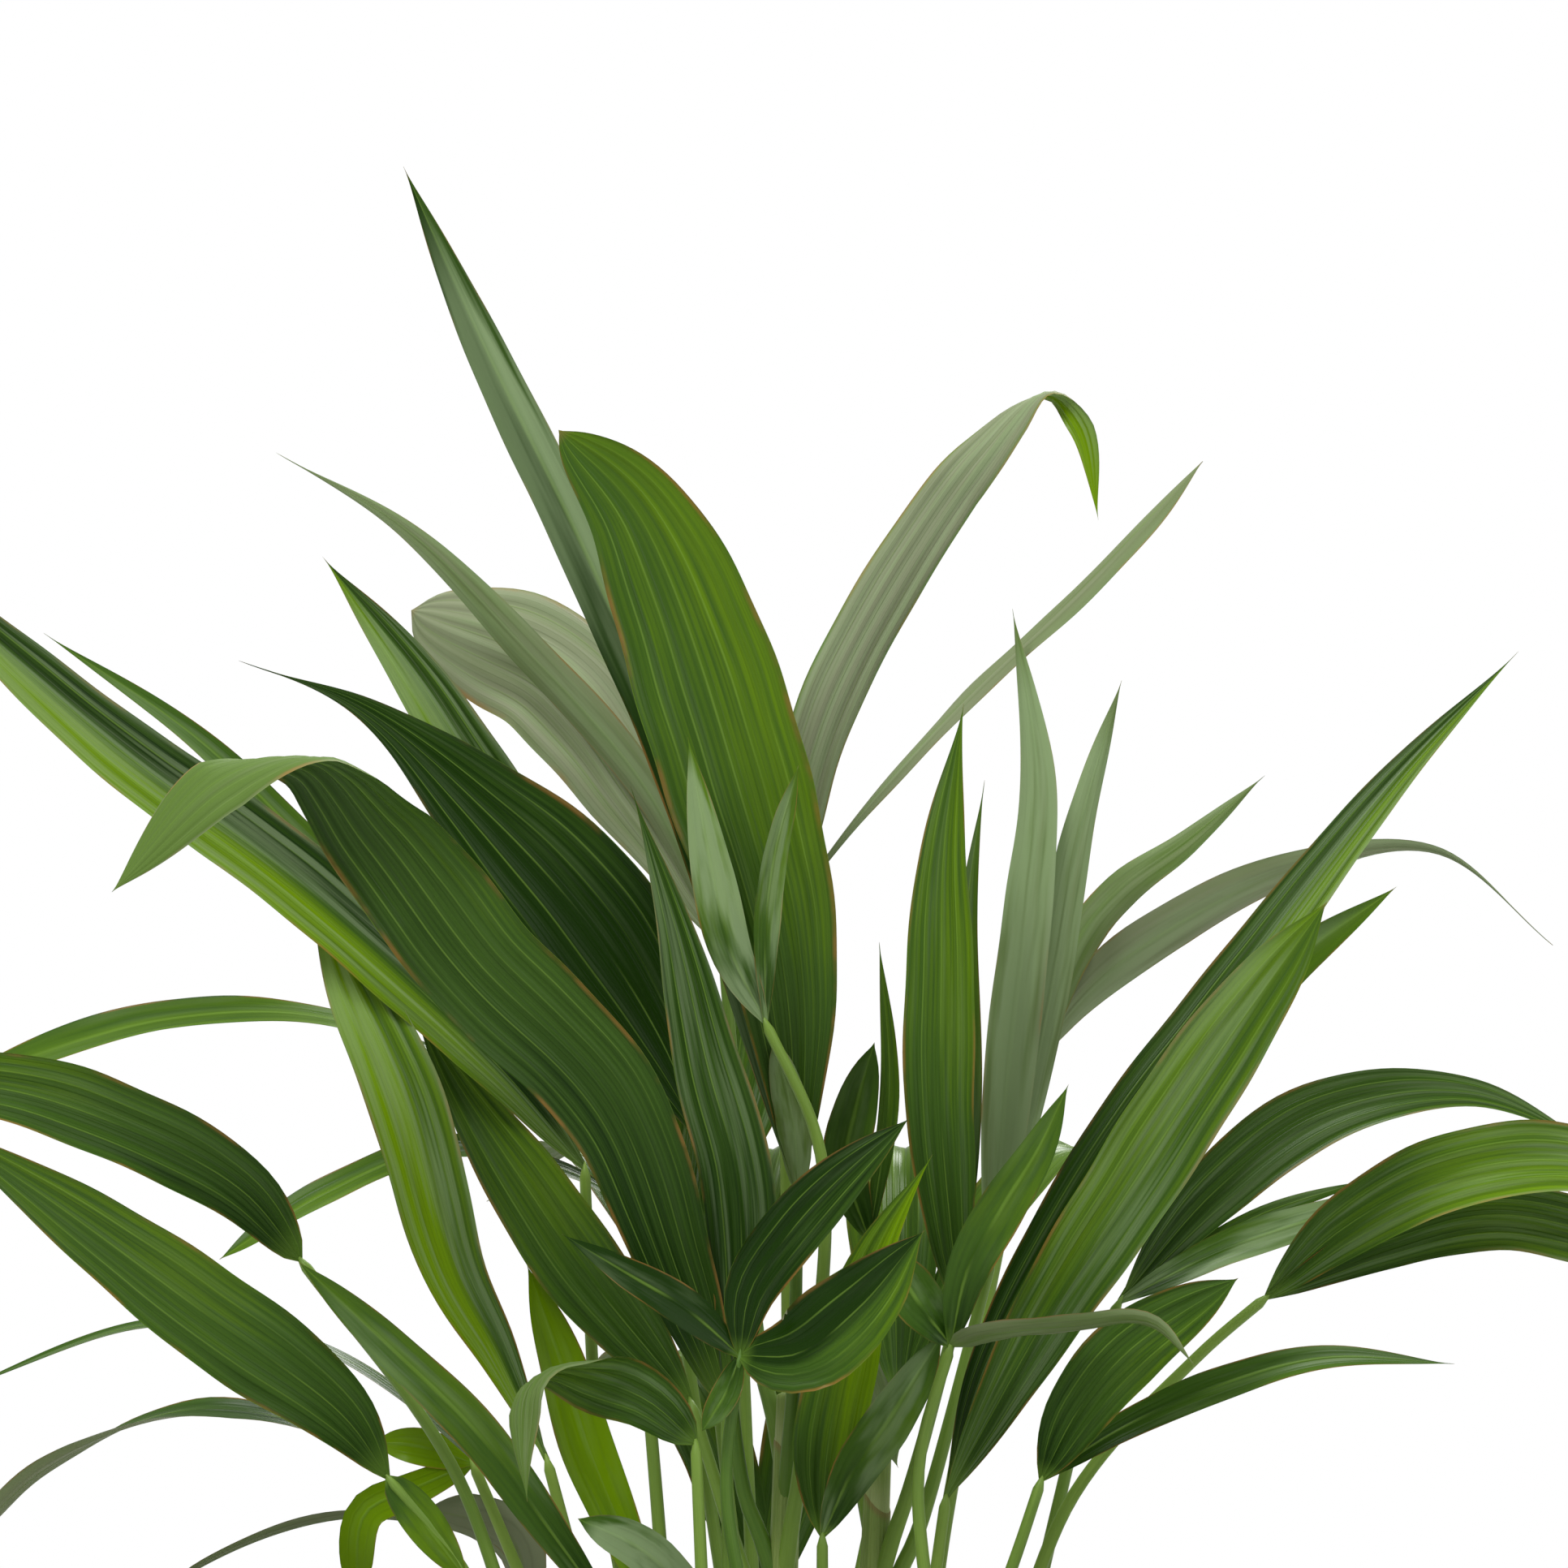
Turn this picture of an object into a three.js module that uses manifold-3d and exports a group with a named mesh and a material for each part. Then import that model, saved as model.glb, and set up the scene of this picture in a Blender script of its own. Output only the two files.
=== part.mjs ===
// A young areca palm in a plain clay pot: a clump of seedling shoots with cleft, lance-lobed fronds.
// Millimetres, +Z up. The origin is the middle of the pot's flat underside and the front looks along -Y.

import * as THREE from 'three'
import { mergeVertices } from 'three/addons/utils/BufferGeometryUtils.js'
import Module from 'manifold-3d'

const wasm = await Module()
wasm.setup()

// Driving dimensions of the pot and its compost
const POT_HEIGHT = 112
const POT_FOOT_RADIUS = 45
const POT_NECK_RADIUS = 58
const POT_RIM_RADIUS = 64
const POT_RIM_HEIGHT = 24
const POT_WALL = 5
const POT_FLOOR = 8
const POT_EDGE = 2
const POT_EASE = 1
const POT_RIM_ROUND = 4
const POT_FACETS = 32
const COMPOST_TOP = 97
const CLEAR = 0.3

// Driving dimensions of the shoots
const SHOOT_FOOT_RADIUS = 4.4
const SHOOT_TOP_RADIUS = 2.6
const SHOOT_FLARE = 1.35
const SHOOT_FLARE_POWER = 6
const SHOOT_BOW = 4
const SHOOT_SIDES = 8
const SHOOT_STEPS = 5
const SHOOT_CUT = 4

// Driving dimensions of the fronds
const STALK_FOOT_RADIUS = 1.6
const STALK_FORK_RADIUS = 1.15
const STALK_SIDES = 5
const STALK_STEP = 16
const STALK_LEAST_STEPS = 3
const STALK_OVERLAP = 1.5
const STALK_RISE = 10
const STALK_SPREAD = 0.4
const BLADE_STEP = 21
const BLADE_LEAST_STEPS = 4
const BLADE_FOOT_WIDTH = 1.8
const BLADE_THICKNESS = 0.0115
const BLADE_LEAST_THICKNESS = 1.1
const BLADE_FOLD = 0.2
const BLADE_DRAWN_OUT = 0.05

// Colours of the plant and its pot
const CLAY = { color: 0xb0704c, roughness: 0.8, metalness: 0 }
const COMPOST = { color: 0x33261c, roughness: 0.95, metalness: 0 }
const SHEATH = { color: 0x7d9450, roughness: 0.55, metalness: 0 }
const LEAF = { color: 0x3d6b17, roughness: 0.45, metalness: 0 }

// Each shoot leans from its foot on the compost to its top.
const SHOOTS = {
  left_front: { foot: [-27, -9], top: [-42, -15, 166] },
  left_back: { foot: [-23, 13], top: [-33, 19, 172] },
  front_left: { foot: [-11, -21], top: [-15, -31, 174] },
  middle: { foot: [-3, 1], top: [1, 3, 236] },
  front: { foot: [5, -19], top: [6, -26, 168] },
  back: { foot: [1, 25], top: [-1, 32, 188] },
  right_middle: { foot: [15, 3], top: [20, 5, 226] },
  right_front: { foot: [19, -17], top: [23, -27, 168] },
  right_back: { foot: [28, 11], top: [39, 17, 178] },
}

// A stalk leaves its shoot at a height and ends at its fork, by way of a few points where it bends. From
// the fork each blade runs through a few points to its tip, swells to its width at a share of its length,
// and is turned about its own line, in degrees from foot to tip: 0 shows its upper side to the front and
// 180 its underside. A low body makes a blade blunt and full, a high one makes it lean.
const FRONDS = [
  {
    name: 'frond_spear', shoot: 'middle', leaves: 226, fork: [3, -3, 280],
    blades: [
      { by: [[-20, 3, 362], [-40, 7, 410], [-64, 11, 459]], tip: [-80, 14, 494],
        width: 12, swell: 0.55, body: 0.8, turn: [-30, -25, -15] },
      { by: [[0, -9, 324], [-8, -14, 358], [-30, -20, 420]], tip: [-47, -24, 438],
        width: 31, swell: 0.58, body: 0.9, drawnOut: 0.008, turn: [15, 5, -10] },
      { by: [[2, -8, 292]], tip: [-2, -12, 311],
        width: 7.5, swell: 0.5, body: 0.6, turn: [170, 170] },
    ],
  },
  {
    name: 'frond_sage', shoot: 'middle', leaves: 232, fork: [-13, 22, 331],
    blades: [
      { by: [[-30, 29, 364], [-48, 38, 388]], tip: [-79, 52, 401],
        width: 30, swell: 0.64, body: 0.95, drawnOut: 0.01, turn: [190, 200, 195] },
      { by: [[-29, 19, 363], [-55, 21, 393], [-80, 23, 418]], tip: [-107, 24, 434],
        width: 9, swell: 0.4, body: 1, turn: [150, 160, 170] },
    ],
  },
  {
    name: 'frond_hook', shoot: 'back', leaves: 186, fork: [0, 26, 338],
    blades: [
      { by: [[6, 30, 370], [16, 34, 394], [41, 42, 433], [56, 46, 447], [63, 45, 440]],
        tip: [66.5, 44, 420], width: 13.5, swell: 0.35, body: 0.36,
        turn: [200, 198, 195, 192, 190, 185, 130, 20, 0], steps: 12 },
      { by: [[17, 24, 359], [38, 21, 382], [60, 18, 403]], tip: [88, 14, 432],
        width: 9.5, swell: 0.7, body: 0.95, turn: [115, 115, 115] },
    ],
  },
  {
    name: 'frond_left_upper', shoot: 'middle', leaves: 206, fork: [-15.5, 3, 287],
    blades: [
      { by: [[-26, -1, 311], [-42, -5, 336], [-62, -8, 358], [-88, -10, 380]], tip: [-114, -11, 390],
        width: 31, swell: 0.38, body: 1.5, turn: [0, 5, 15] },
      { by: [[-33, 7, 318], [-52, 11, 347], [-66, 13, 369], [-79, 14, 389]], tip: [-97, 15, 412],
        width: 14, swell: 0.58, body: 1.3, turn: [10, 10, 10] },
    ],
  },
  {
    name: 'frond_folded', shoot: 'front_left', leaves: 172, fork: [-12, -26, 236],
    blades: [
      { by: [[-22, -30, 262], [-36, -40, 298], [-64, -54, 328], [-83, -66, 354], [-97, -76, 369],
        [-115, -85, 366]],
        tip: [-138, -90, 342], width: 25, swell: 0.55, body: 0.55, turn: [10, 8, 5, 3, 0, -45, -135, -150],
        steps: 15 },
      { by: [[-9, -28, 260], [-10, -30, 283], [-16, -31, 306], [-23, -31, 336]], tip: [-32, -30, 364],
        width: 15.5, swell: 0.4, body: 0.9, turn: [10, 0, -10] },
    ],
  },
  {
    name: 'frond_left_high', shoot: 'left_back', leaves: 168, bend: [[-39, 28, 225]], fork: [-42, 17, 285],
    blades: [
      { by: [[-61, 4, 306], [-100, -5, 342], [-141, -18, 373]], tip: [-193, -34, 420],
        width: 17, swell: 0.45, body: 0.7, turn: [10, 20, 10] },
      { by: [[-62, 16, 311], [-100, 19, 351], [-124, 22, 374]], tip: [-156, 26, 396],
        width: 7, swell: 0.5, body: 0.9, turn: [20, 20, 20] },
    ],
  },
  {
    name: 'frond_pale_left', shoot: 'left_back', leaves: 160, fork: [-50, -1, 224],
    blades: [
      { by: [[-60, -2, 245], [-69, -3, 262], [-80, -3, 299], [-92, 0, 326]], tip: [-99, 2, 341],
        width: 16.5, swell: 0.6, body: 0.95, turn: [0, 10, 10] },
    ],
  },
  {
    name: 'frond_dark_left', shoot: 'middle', leaves: 190, fork: [-20, 9, 236],
    blades: [
      { by: [[-42, 10, 262], [-55, 11, 281], [-67, 11, 299]], tip: [-79, 12, 319],
        width: 18, swell: 0.4, body: 0.8, turn: [0, 0, 0] },
    ],
  },
  {
    name: 'frond_centre', shoot: 'middle', leaves: 210, bend: [[8, -13, 285]], fork: [-4.5, -20, 316],
    blades: [
      { by: [[-11, -24, 329], [-15, -27, 346]], tip: [-20, -30, 374],
        width: 9.5, swell: 0.4, body: 0.7, turn: [10, 0, 0] },
      { by: [[-4, -23, 334], [-2, -25, 350]], tip: [3, -27, 368],
        width: 6.5, swell: 0.5, body: 0.7, turn: [30, 30, 30] },
    ],
  },
  {
    name: 'frond_right_upright', shoot: 'right_middle', leaves: 206, fork: [37, -9, 256],
    blades: [
      { by: [[33, -13, 295], [33, -16, 325], [33.5, -17, 350]], tip: [37.5, -17, 381],
        width: 15.5, swell: 0.45, body: 0.6, drawnOut: 0.12, turn: [-10, -15, -20] },
      { by: [[38, -6, 300], [38, -4, 335]], tip: [42, -2, 365],
        width: 7, swell: 0.45, body: 1, turn: [25, 25, 25] },
    ],
  },
  {
    name: 'frond_right_pale', shoot: 'right_middle', leaves: 198, fork: [44, 6, 266],
    blades: [
      { by: [[47, 8, 305], [51, 10, 340], [53, 11, 366]], tip: [48, 13, 401],
        width: 11.5, swell: 0.4, body: 0.6, turn: [170, 160, 160] },
      { by: [[51, 12, 296], [57, 14, 326], [62, 16, 354]], tip: [71, 17, 386],
        width: 9, swell: 0.45, body: 0.6, turn: [200, 200, 200] },
    ],
  },
  {
    name: 'frond_right_arch', shoot: 'right_back', leaves: 172, fork: [53, 28, 307],
    blades: [
      { by: [[62, 34, 331], [71, 40, 342], [85, 48, 352]], tip: [102, 56, 366],
        width: 9, swell: 0.4, body: 0.7, turn: [150, 150, 160] },
      { by: [[62, 32, 318], [75, 36, 329], [108, 46, 346], [138, 52, 350]], tip: [163, 54, 330],
        width: 12, swell: 0.3, body: 0.9, turn: [-150, -150, -130, -120] },
    ],
  },
  {
    name: 'frond_right_long', shoot: 'right_front', leaves: 160, fork: [34, -20, 217],
    blades: [
      { by: [[55, -36, 254], [71, -47, 279], [89, -58, 307]], tip: [112, -70, 340],
        width: 19, swell: 0.6, body: 0.75, turn: [0, -10, -10] },
      { by: [[43, -14, 244], [67, -12, 286], [91, -8, 318], [127, -2, 364]], tip: [154, 4, 392],
        width: 13.5, swell: 0.45, body: 0.8, turn: [0, -10, -15] },
      { by: [[66, -30, 273], [86, -38, 301], [102, -44, 324]], tip: [127, -50, 343],
        width: 12, swell: 0.55, body: 0.7, turn: [10, 10, 10] },
    ],
  },
  {
    name: 'frond_right_middle', shoot: 'right_back', leaves: 164, side: 45,
    bend: [[66, 6, 246]], fork: [71, 2, 257],
    blades: [
      { by: [[91, 10, 279], [114, 20, 295], [145, 30, 299]], tip: [178, 38, 284],
        width: 15, swell: 0.35, body: 1, turn: [-10, -15, -25] },
      { by: [[91, 2, 266], [105, 2, 271]], tip: [131, 2, 279],
        width: 8, swell: 0.5, body: 0.7, turn: [-20, -20, -20] },
      { by: [[98, 7, 273]], tip: [122, 9, 281],
        width: 3.4, swell: 0.5, body: 0.7, turn: [0, 0, 0] },
    ],
  },
  {
    name: 'frond_right_broad', shoot: 'right_back', leaves: 156, bend: [[60, 2, 214], [86, -8, 244]],
    fork: [102, -12, 258],
    blades: [
      { by: [[116, -22, 271], [136, -36, 282], [160, -50, 286]], tip: [200, -72, 276],
        width: 17, swell: 0.45, body: 0.7, turn: [-10, -20, -30] },
      { by: [[125, -22, 269], [150, -36, 275]], tip: [206, -62, 258],
        width: 15, swell: 0.5, body: 0.7, turn: [20, 20, 10] },
    ],
  },
  {
    name: 'frond_right_low', shoot: 'right_front', leaves: 150, bend: [[47, -30, 200]], fork: [54, -34, 221],
    blades: [
      { by: [[61, -40, 234], [72, -47, 247]], tip: [94, -56, 262],
        width: 15.5, swell: 0.5, body: 0.7, turn: [0, -10, -10] },
      { by: [[70, -32, 230], [90, -36, 239], [112, -41, 245]], tip: [139, -47, 244],
        width: 7.5, swell: 0.4, body: 0.7, turn: [-20, -20, -20] },
    ],
  },
  {
    name: 'frond_middle_slim', shoot: 'right_middle', leaves: 218, fork: [18, 9, 270],
    blades: [
      { by: [[22, 11, 300]], tip: [20, 12, 331],
        width: 4.5, swell: 0.4, body: 0.7, turn: [20, 20, 20] },
      { by: [[13, 8, 284], [15, 8, 296]], tip: [19, 8, 310],
        width: 10, swell: 0.5, body: 0.7, turn: [0, 0, 0] },
    ],
  },
  {
    name: 'frond_lime', shoot: 'front', leaves: 150, fork: [8, -24, 209],
    blades: [
      { by: [[14, -27, 221], [21, -29, 231]], tip: [33, -31, 250],
        width: 11, swell: 0.5, body: 0.7, turn: [20, 20, 20] },
      { by: [[9, -20, 223], [12, -20, 240], [19, -21, 266]], tip: [31, -22, 287],
        width: 15.5, swell: 0.35, body: 0.7, turn: [-15, -15, -15] },
    ],
  },
  {
    name: 'frond_curled', shoot: 'front_left', leaves: 164, fork: [-18.4, -42, 229],
    blades: [
      { by: [[-28, -46, 236], [-39, -50, 241], [-48, -56, 243], [-53, -62, 239], [-54, -65, 228]],
        tip: [-53, -66, 216], width: 14, swell: 0.35, body: 0.6, turn: [10, 10, -60, -150, -160] },
    ],
  },
  {
    name: 'frond_behind_left', shoot: 'left_back', leaves: 140, fork: [-27, 11, 192],
    blades: [
      { by: [[-36, 13, 211], [-42, 14, 226], [-47, 15, 243]], tip: [-54, 16, 263],
        width: 11.5, swell: 0.5, body: 0.7, turn: [10, 10, 10] },
    ],
  },
  {
    name: 'frond_left_veined', shoot: 'left_front', leaves: 156,
    bend: [[-69, -12, 221]], fork: [-102, -10, 266],
    blades: [
      { by: [[-113, -18, 279], [-134, -30, 291], [-164, -46, 301]], tip: [-203, -66, 300],
        width: 17.5, swell: 0.4, body: 0.55, turn: [20, 20, 25] },
    ],
  },
  {
    name: 'frond_left_slim', shoot: 'left_front', leaves: 138, fork: [-37, -16, 193],
    blades: [
      { by: [[-47, -19, 206], [-64, -25, 229], [-82, -30, 247]], tip: [-101, -34, 265],
        width: 9.5, swell: 0.5, body: 0.55, turn: [0, 10, 0] },
      { by: [[-64, 0, 222], [-98, 6, 246], [-133, 10, 250.5]], tip: [-176, 12, 236],
        width: 5, swell: 0.45, body: 0.6, turn: [60, 68, 60] },
    ],
  },
  {
    name: 'frond_left_low', shoot: 'left_front', leaves: 150,
    bend: [[-66, -22, 199]], fork: [-83.5, -26, 221],
    blades: [
      { by: [[-92, -34, 233], [-121, -50, 255], [-150, -64, 277]], tip: [-177, -76, 296],
        width: 20.5, swell: 0.4, body: 0.75, turn: [10, 15, 10] },
      { by: [[-96, -20, 229], [-125, -16, 233], [-154, -12, 221]], tip: [-175, -10, 201],
        width: 10, swell: 0.6, body: 0.6, turn: [62, 62, 105, 125] },
      { by: [[-77, -25, 213]], tip: [-66, -23, 198],
        width: 8.5, swell: 0.4, body: 0.5, turn: [0, 0, 0] },
    ],
  },
  {
    name: 'frond_left_drooping', shoot: 'left_back', leaves: 162, fork: [-32, 22, 277],
    blades: [
      { by: [[-52, 27, 296], [-95, 40, 314], [-130, 50, 314]], tip: [-176, 60, 301],
        width: 11, swell: 0.8, body: 1.5, turn: [70, 60, 45] },
      { by: [[-47, 24, 283], [-72, 26, 287], [-96, 28, 278]], tip: [-119, 28, 264],
        width: 8.5, swell: 0.6, body: 0.7, turn: [60, 50, 40] },
    ],
  },
  {
    name: 'frond_left_grey', shoot: 'left_back', leaves: 146, fork: [-54, 20, 193],
    blades: [
      { by: [[-62, 21, 204], [-91, 22, 210], [-122, 22, 200]], tip: [-140, 22, 186],
        width: 5, swell: 0.45, body: 0.7, turn: [110, 115, 110] },
      { by: [[-58, 17, 206]], tip: [-75, 15, 212],
        width: 12, swell: 0.5, body: 0.5, turn: [150, 150, 150] },
    ],
  },
  {
    name: 'frond_left_yellow', shoot: 'left_back', leaves: 152, fork: [-66, 11, 223],
    blades: [
      { by: [[-76, 12, 225]], tip: [-86, 13, 226],
        width: 8, swell: 0.5, body: 0.7, turn: [0, 0, 0] },
      { by: [[-78, 12, 216], [-88, 12, 211]], tip: [-90, 12, 194],
        width: 8, swell: 0.6, body: 0.4, turn: [0, 0, 0] },
    ],
  },
  {
    name: 'frond_low_shiny', shoot: 'middle', leaves: 150, fork: [-15, -16, 189],
    blades: [
      { by: [[-28, -18, 203]], tip: [-43, -20, 211],
        width: 10, swell: 0.5, body: 0.5, turn: [20, 20, 20] },
    ],
  },
  {
    name: 'frond_front_star', shoot: 'front_left', leaves: 168, bend: [[-12, -38, 218]], fork: [-9, -44, 247],
    blades: [
      { by: [[-20, -47, 255], [-33, -50, 263]], tip: [-46, -52, 271],
        width: 8.5, swell: 0.4, body: 0.7, turn: [20, 20, 20] },
      { by: [[-7, -46, 259], [1, -48, 271], [11, -50, 282]], tip: [26, -52, 295],
        width: 13, swell: 0.45, body: 0.7, turn: [0, 0, 0] },
      { by: [[3, -50, 246], [16, -56, 256]], tip: [29, -62, 272],
        width: 20, swell: 0.42, body: 0.7, turn: [-20, -20, -20] },
      { by: [[-12, -45, 238]], tip: [-17, -46, 230],
        width: 6, swell: 0.5, body: 0.7, turn: [0, 0, 0] },
    ],
  },
  {
    name: 'frond_front_right', shoot: 'right_front', leaves: 164,
    bend: [[28, -36, 222]], fork: [35, -40, 249],
    blades: [
      { by: [[38, -42, 263], [45, -44, 276], [53, -46, 289]], tip: [59, -48, 302],
        width: 10, swell: 0.45, body: 0.7, turn: [0, 0, 0] },
      { by: [[28, -39, 256]], tip: [21, -37, 268],
        width: 11, swell: 0.5, body: 0.7, turn: [20, 20, 20] },
      { by: [[43, -48, 250], [60, -54, 252], [76, -60, 253]], tip: [85, -64, 244],
        width: 7.5, swell: 0.3, body: 0.4, turn: [-140, -120, -130, -150] },
    ],
  },
]

// Tiers of fronds that close the crown at its back, sides and foot, the same on every run
const SEED = 5501
const TIERS = [
  { name: 'low', count: 12, from: 8, sweep: 360, leaves: 126, forkOut: 66, forkUp: 160, out: 156, up: 150,
    stagger: 9, width: 19, sag: 24 },
  { name: 'rear', count: 3, from: 70, sweep: 54, leaves: 150, forkOut: 60, forkUp: 214, out: 148, up: 252,
    stagger: 22, width: 21, sag: 30 },
  { name: 'crest', count: 2, from: 101, sweep: 27, leaves: 165, forkOut: 54, forkUp: 272, out: 104, up: 334,
    stagger: 12, width: 20, sag: 14 },
]
const TIER_LOBE_ANGLE = 11
const TIER_LOBE_LIFT = 12
const TIER_TIP_ANGLE = 3
const TIER_SWELL = 0.48
const TIER_BODY = 0.8

// How far the tiers' fronds stray from their even places
const STRAY_BEARING = 6
const STRAY_REACH = [0.92, 1.06]
const STRAY_LIFT = 4
const STRAY_LEAVES = 3

const HALVINGS = 24
const MERGE_WITHIN = 1e-4
const POLE_WITHIN = 1e-6

const DEGREE = Math.PI / 180

function toVector(point) {
  return new THREE.Vector3(point[0], point[1], point[2])
}

// A closed geometry as a solid: its seams are merged, so that only shared corners are left.
function toSolid(geometry) {
  geometry.deleteAttribute('normal')
  geometry.deleteAttribute('uv')
  const merged = mergeVertices(geometry, MERGE_WITHIN)
  const mesh = new wasm.Mesh({
    numProp: 3,
    vertProperties: new Float32Array(merged.attributes.position.array),
    triVerts: new Uint32Array(merged.index.array),
  })
  return new wasm.Manifold(mesh)
}

function toMesh(name, solid, finish) {
  const { vertProperties, triVerts } = solid.getMesh()
  const geometry = new THREE.BufferGeometry()
  geometry.setAttribute('position', new THREE.BufferAttribute(vertProperties, 3))
  geometry.setIndex(new THREE.BufferAttribute(triVerts, 1))
  geometry.computeVertexNormals()
  const mesh = new THREE.Mesh(geometry, new THREE.MeshStandardMaterial(finish))
  mesh.name = name
  return mesh
}

// Sweeps a cylinder's rings along a line. frame gives the side and upper directions at a share of the
// length, and section the offsets along them for a direction round the ring. A pointed end is one corner.
function sweep({ line, steps, sides, pointed, frame, section }) {
  const geometry = new THREE.CylinderGeometry(pointed ? 0 : 1, 1, 1, sides, steps)
  const corners = geometry.attributes.position
  for (let i = 0; i < corners.count; i += 1) {
    const share = Math.min(Math.max(corners.getY(i) + 0.5, 0), 1)
    const ring = new THREE.Vector2(corners.getX(i), corners.getZ(i))
    const centre = line.getPointAt(share)
    if (ring.length() > POLE_WITHIN) {
      const { side, upper } = frame(share)
      const [across, above] = section(share, ring.normalize())
      centre.addScaledVector(side, across).addScaledVector(upper, above)
    }
    corners.setXYZ(i, centre.x, centre.y, centre.z)
  }
  return toSolid(geometry)
}

// A round tapering limb. Its rings keep one side direction, so that it doesn't twist.
function limb(line, radiusAt, sides, steps) {
  const across = new THREE.Vector3(1, 0, 0)
  const frame = (share) => {
    const upper = across.clone().cross(line.getTangentAt(share)).normalize().negate()
    const side = line.getTangentAt(share).cross(upper).normalize()
    return { side, upper }
  }
  const section = (share, ring) => [ring.x * radiusAt(share), ring.y * radiusAt(share)]
  return sweep({ line, steps, sides, pointed: false, frame, section })
}

// Share of the full width at a share of the length: nothing at both ends and about 1 at the swell. The tip
// is drawn out over a share of the length.
function swelling(share, { swell, body, drawnOut = BLADE_DRAWN_OUT }) {
  const rise = Math.pow(share / swell, body)
  const fall = Math.pow((1 - share) / (1 - swell), (body * (1 - swell)) / swell)
  return rise * fall * (1 - Math.exp((share - 1) / drawnOut))
}

// A value from a list that is spread evenly over the length
function along(values, share) {
  const place = share * (values.length - 1)
  const index = Math.min(Math.floor(place), values.length - 2)
  return THREE.MathUtils.lerp(values[index], values[index + 1], place - index)
}

// A blade is a long thin body with sharp margins, folded a little along its rib.
function blade(fork, spec) {
  const points = [fork, ...spec.by, spec.tip].map(toVector)
  const line = new THREE.CatmullRomCurve3(points, false, 'centripetal')
  const length = line.getLength()
  const thickness = Math.max(length * BLADE_THICKNESS, BLADE_LEAST_THICKNESS)
  const facing = toVector(spec.facing ?? [0, -1, 0])
  const frame = (share) => {
    const tangent = line.getTangentAt(share)
    const side = tangent.clone().cross(facing).normalize()
    const upper = side.clone().cross(tangent).normalize()
    const turn = along(spec.turn, share) * DEGREE
    side.applyAxisAngle(tangent, turn)
    upper.applyAxisAngle(tangent, turn)
    return { side, upper }
  }
  const section = (share, ring) => {
    const width = Math.max(spec.width * swelling(share, spec), BLADE_FOOT_WIDTH)
    const half = width / 2
    const margin = Math.abs(ring.x)
    return [ring.x * half, margin * half * BLADE_FOLD + ((1 - margin) * Math.sign(ring.y) * thickness) / 2]
  }
  const steps = spec.steps ?? Math.max(Math.round(length / BLADE_STEP), BLADE_LEAST_STEPS)
  return sweep({ line, steps, sides: 4, pointed: true, frame, section })
}

// The line of a shoot, from just under its flat cut on the compost to its top
function shootLine(shoot) {
  const foot = new THREE.Vector3(shoot.foot[0], shoot.foot[1], COMPOST_TOP + CLEAR - SHOOT_CUT)
  const top = toVector(shoot.top)
  const middle = foot.clone().lerp(top, 0.5)
  middle.z += SHOOT_BOW
  return new THREE.CatmullRomCurve3([foot, middle, top], false, 'centripetal')
}

function shootSolid(shoot) {
  const whole = limb(shootLine(shoot), shootRadius, SHOOT_SIDES, SHOOT_STEPS)
  return whole.trimByPlane([0, 0, 1], COMPOST_TOP + CLEAR)
}

function shootRadius(share) {
  const flare = 1 + (SHOOT_FLARE - 1) * Math.pow(1 - share, SHOOT_FLARE_POWER)
  return THREE.MathUtils.lerp(SHOOT_FOOT_RADIUS, SHOOT_TOP_RADIUS, share) * flare
}

// The share of a shoot's line at a height
function shareAtHeight(line, height) {
  let low = 0
  let high = 1
  for (let i = 0; i < HALVINGS; i += 1) {
    const middle = (low + high) / 2
    if (line.getPointAt(middle).z < height) {
      low = middle
    } else {
      high = middle
    }
  }
  return (low + high) / 2
}

// The line of a stalk: it starts beside its shoot, on the side that looks at the fork, and rises along it.
function stalkLine(frond) {
  const shoot = shootLine(SHOOTS[frond.shoot])
  const share = shareAtHeight(shoot, frond.leaves)
  const axis = shoot.getPointAt(share)
  const rise = shoot.getTangentAt(share)
  const firstBend = toVector((frond.bend ?? [frond.fork])[0])
  const out = firstBend.sub(axis)
  out.addScaledVector(rise, -out.dot(rise)).normalize()
  const side = frond.side === undefined ? 0 : frond.side * DEGREE
  out.applyAxisAngle(rise, side)
  const start = axis.clone().addScaledVector(out, shootRadius(share) + STALK_FOOT_RADIUS + CLEAR)
  const clear = start.clone().addScaledVector(rise, STALK_RISE)
  clear.addScaledVector(out, STALK_RISE * STALK_SPREAD)
  const bends = (frond.bend ?? []).map(toVector)
  return new THREE.CatmullRomCurve3([start, clear, ...bends, toVector(frond.fork)], false, 'centripetal')
}

function frondSolid(frond) {
  const line = stalkLine(frond)
  const steps = Math.max(Math.round(line.getLength() / STALK_STEP), STALK_LEAST_STEPS)
  const radiusAt = (share) => THREE.MathUtils.lerp(STALK_FOOT_RADIUS, STALK_FORK_RADIUS, share)
  const stalk = limb(line, radiusAt, STALK_SIDES, steps)
  const foot = line.getPointAt(1 - STALK_OVERLAP / line.getLength()).toArray()
  return frond.blades.reduce((solid, spec) => solid.add(blade(foot, spec)), stalk)
}

// A repeatable draw between two values
let drawn = SEED
function draw(low, high) {
  drawn = (drawn * 16807) % 2147483647
  return low + ((high - low) * drawn) / 2147483647
}

function nearestShoot(x, y) {
  const names = Object.keys(SHOOTS)
  const away = (name) => Math.hypot(SHOOTS[name].top[0] - x, SHOOTS[name].top[1] - y)
  return names.reduce((best, name) => (away(name) < away(best) ? name : best))
}

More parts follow.
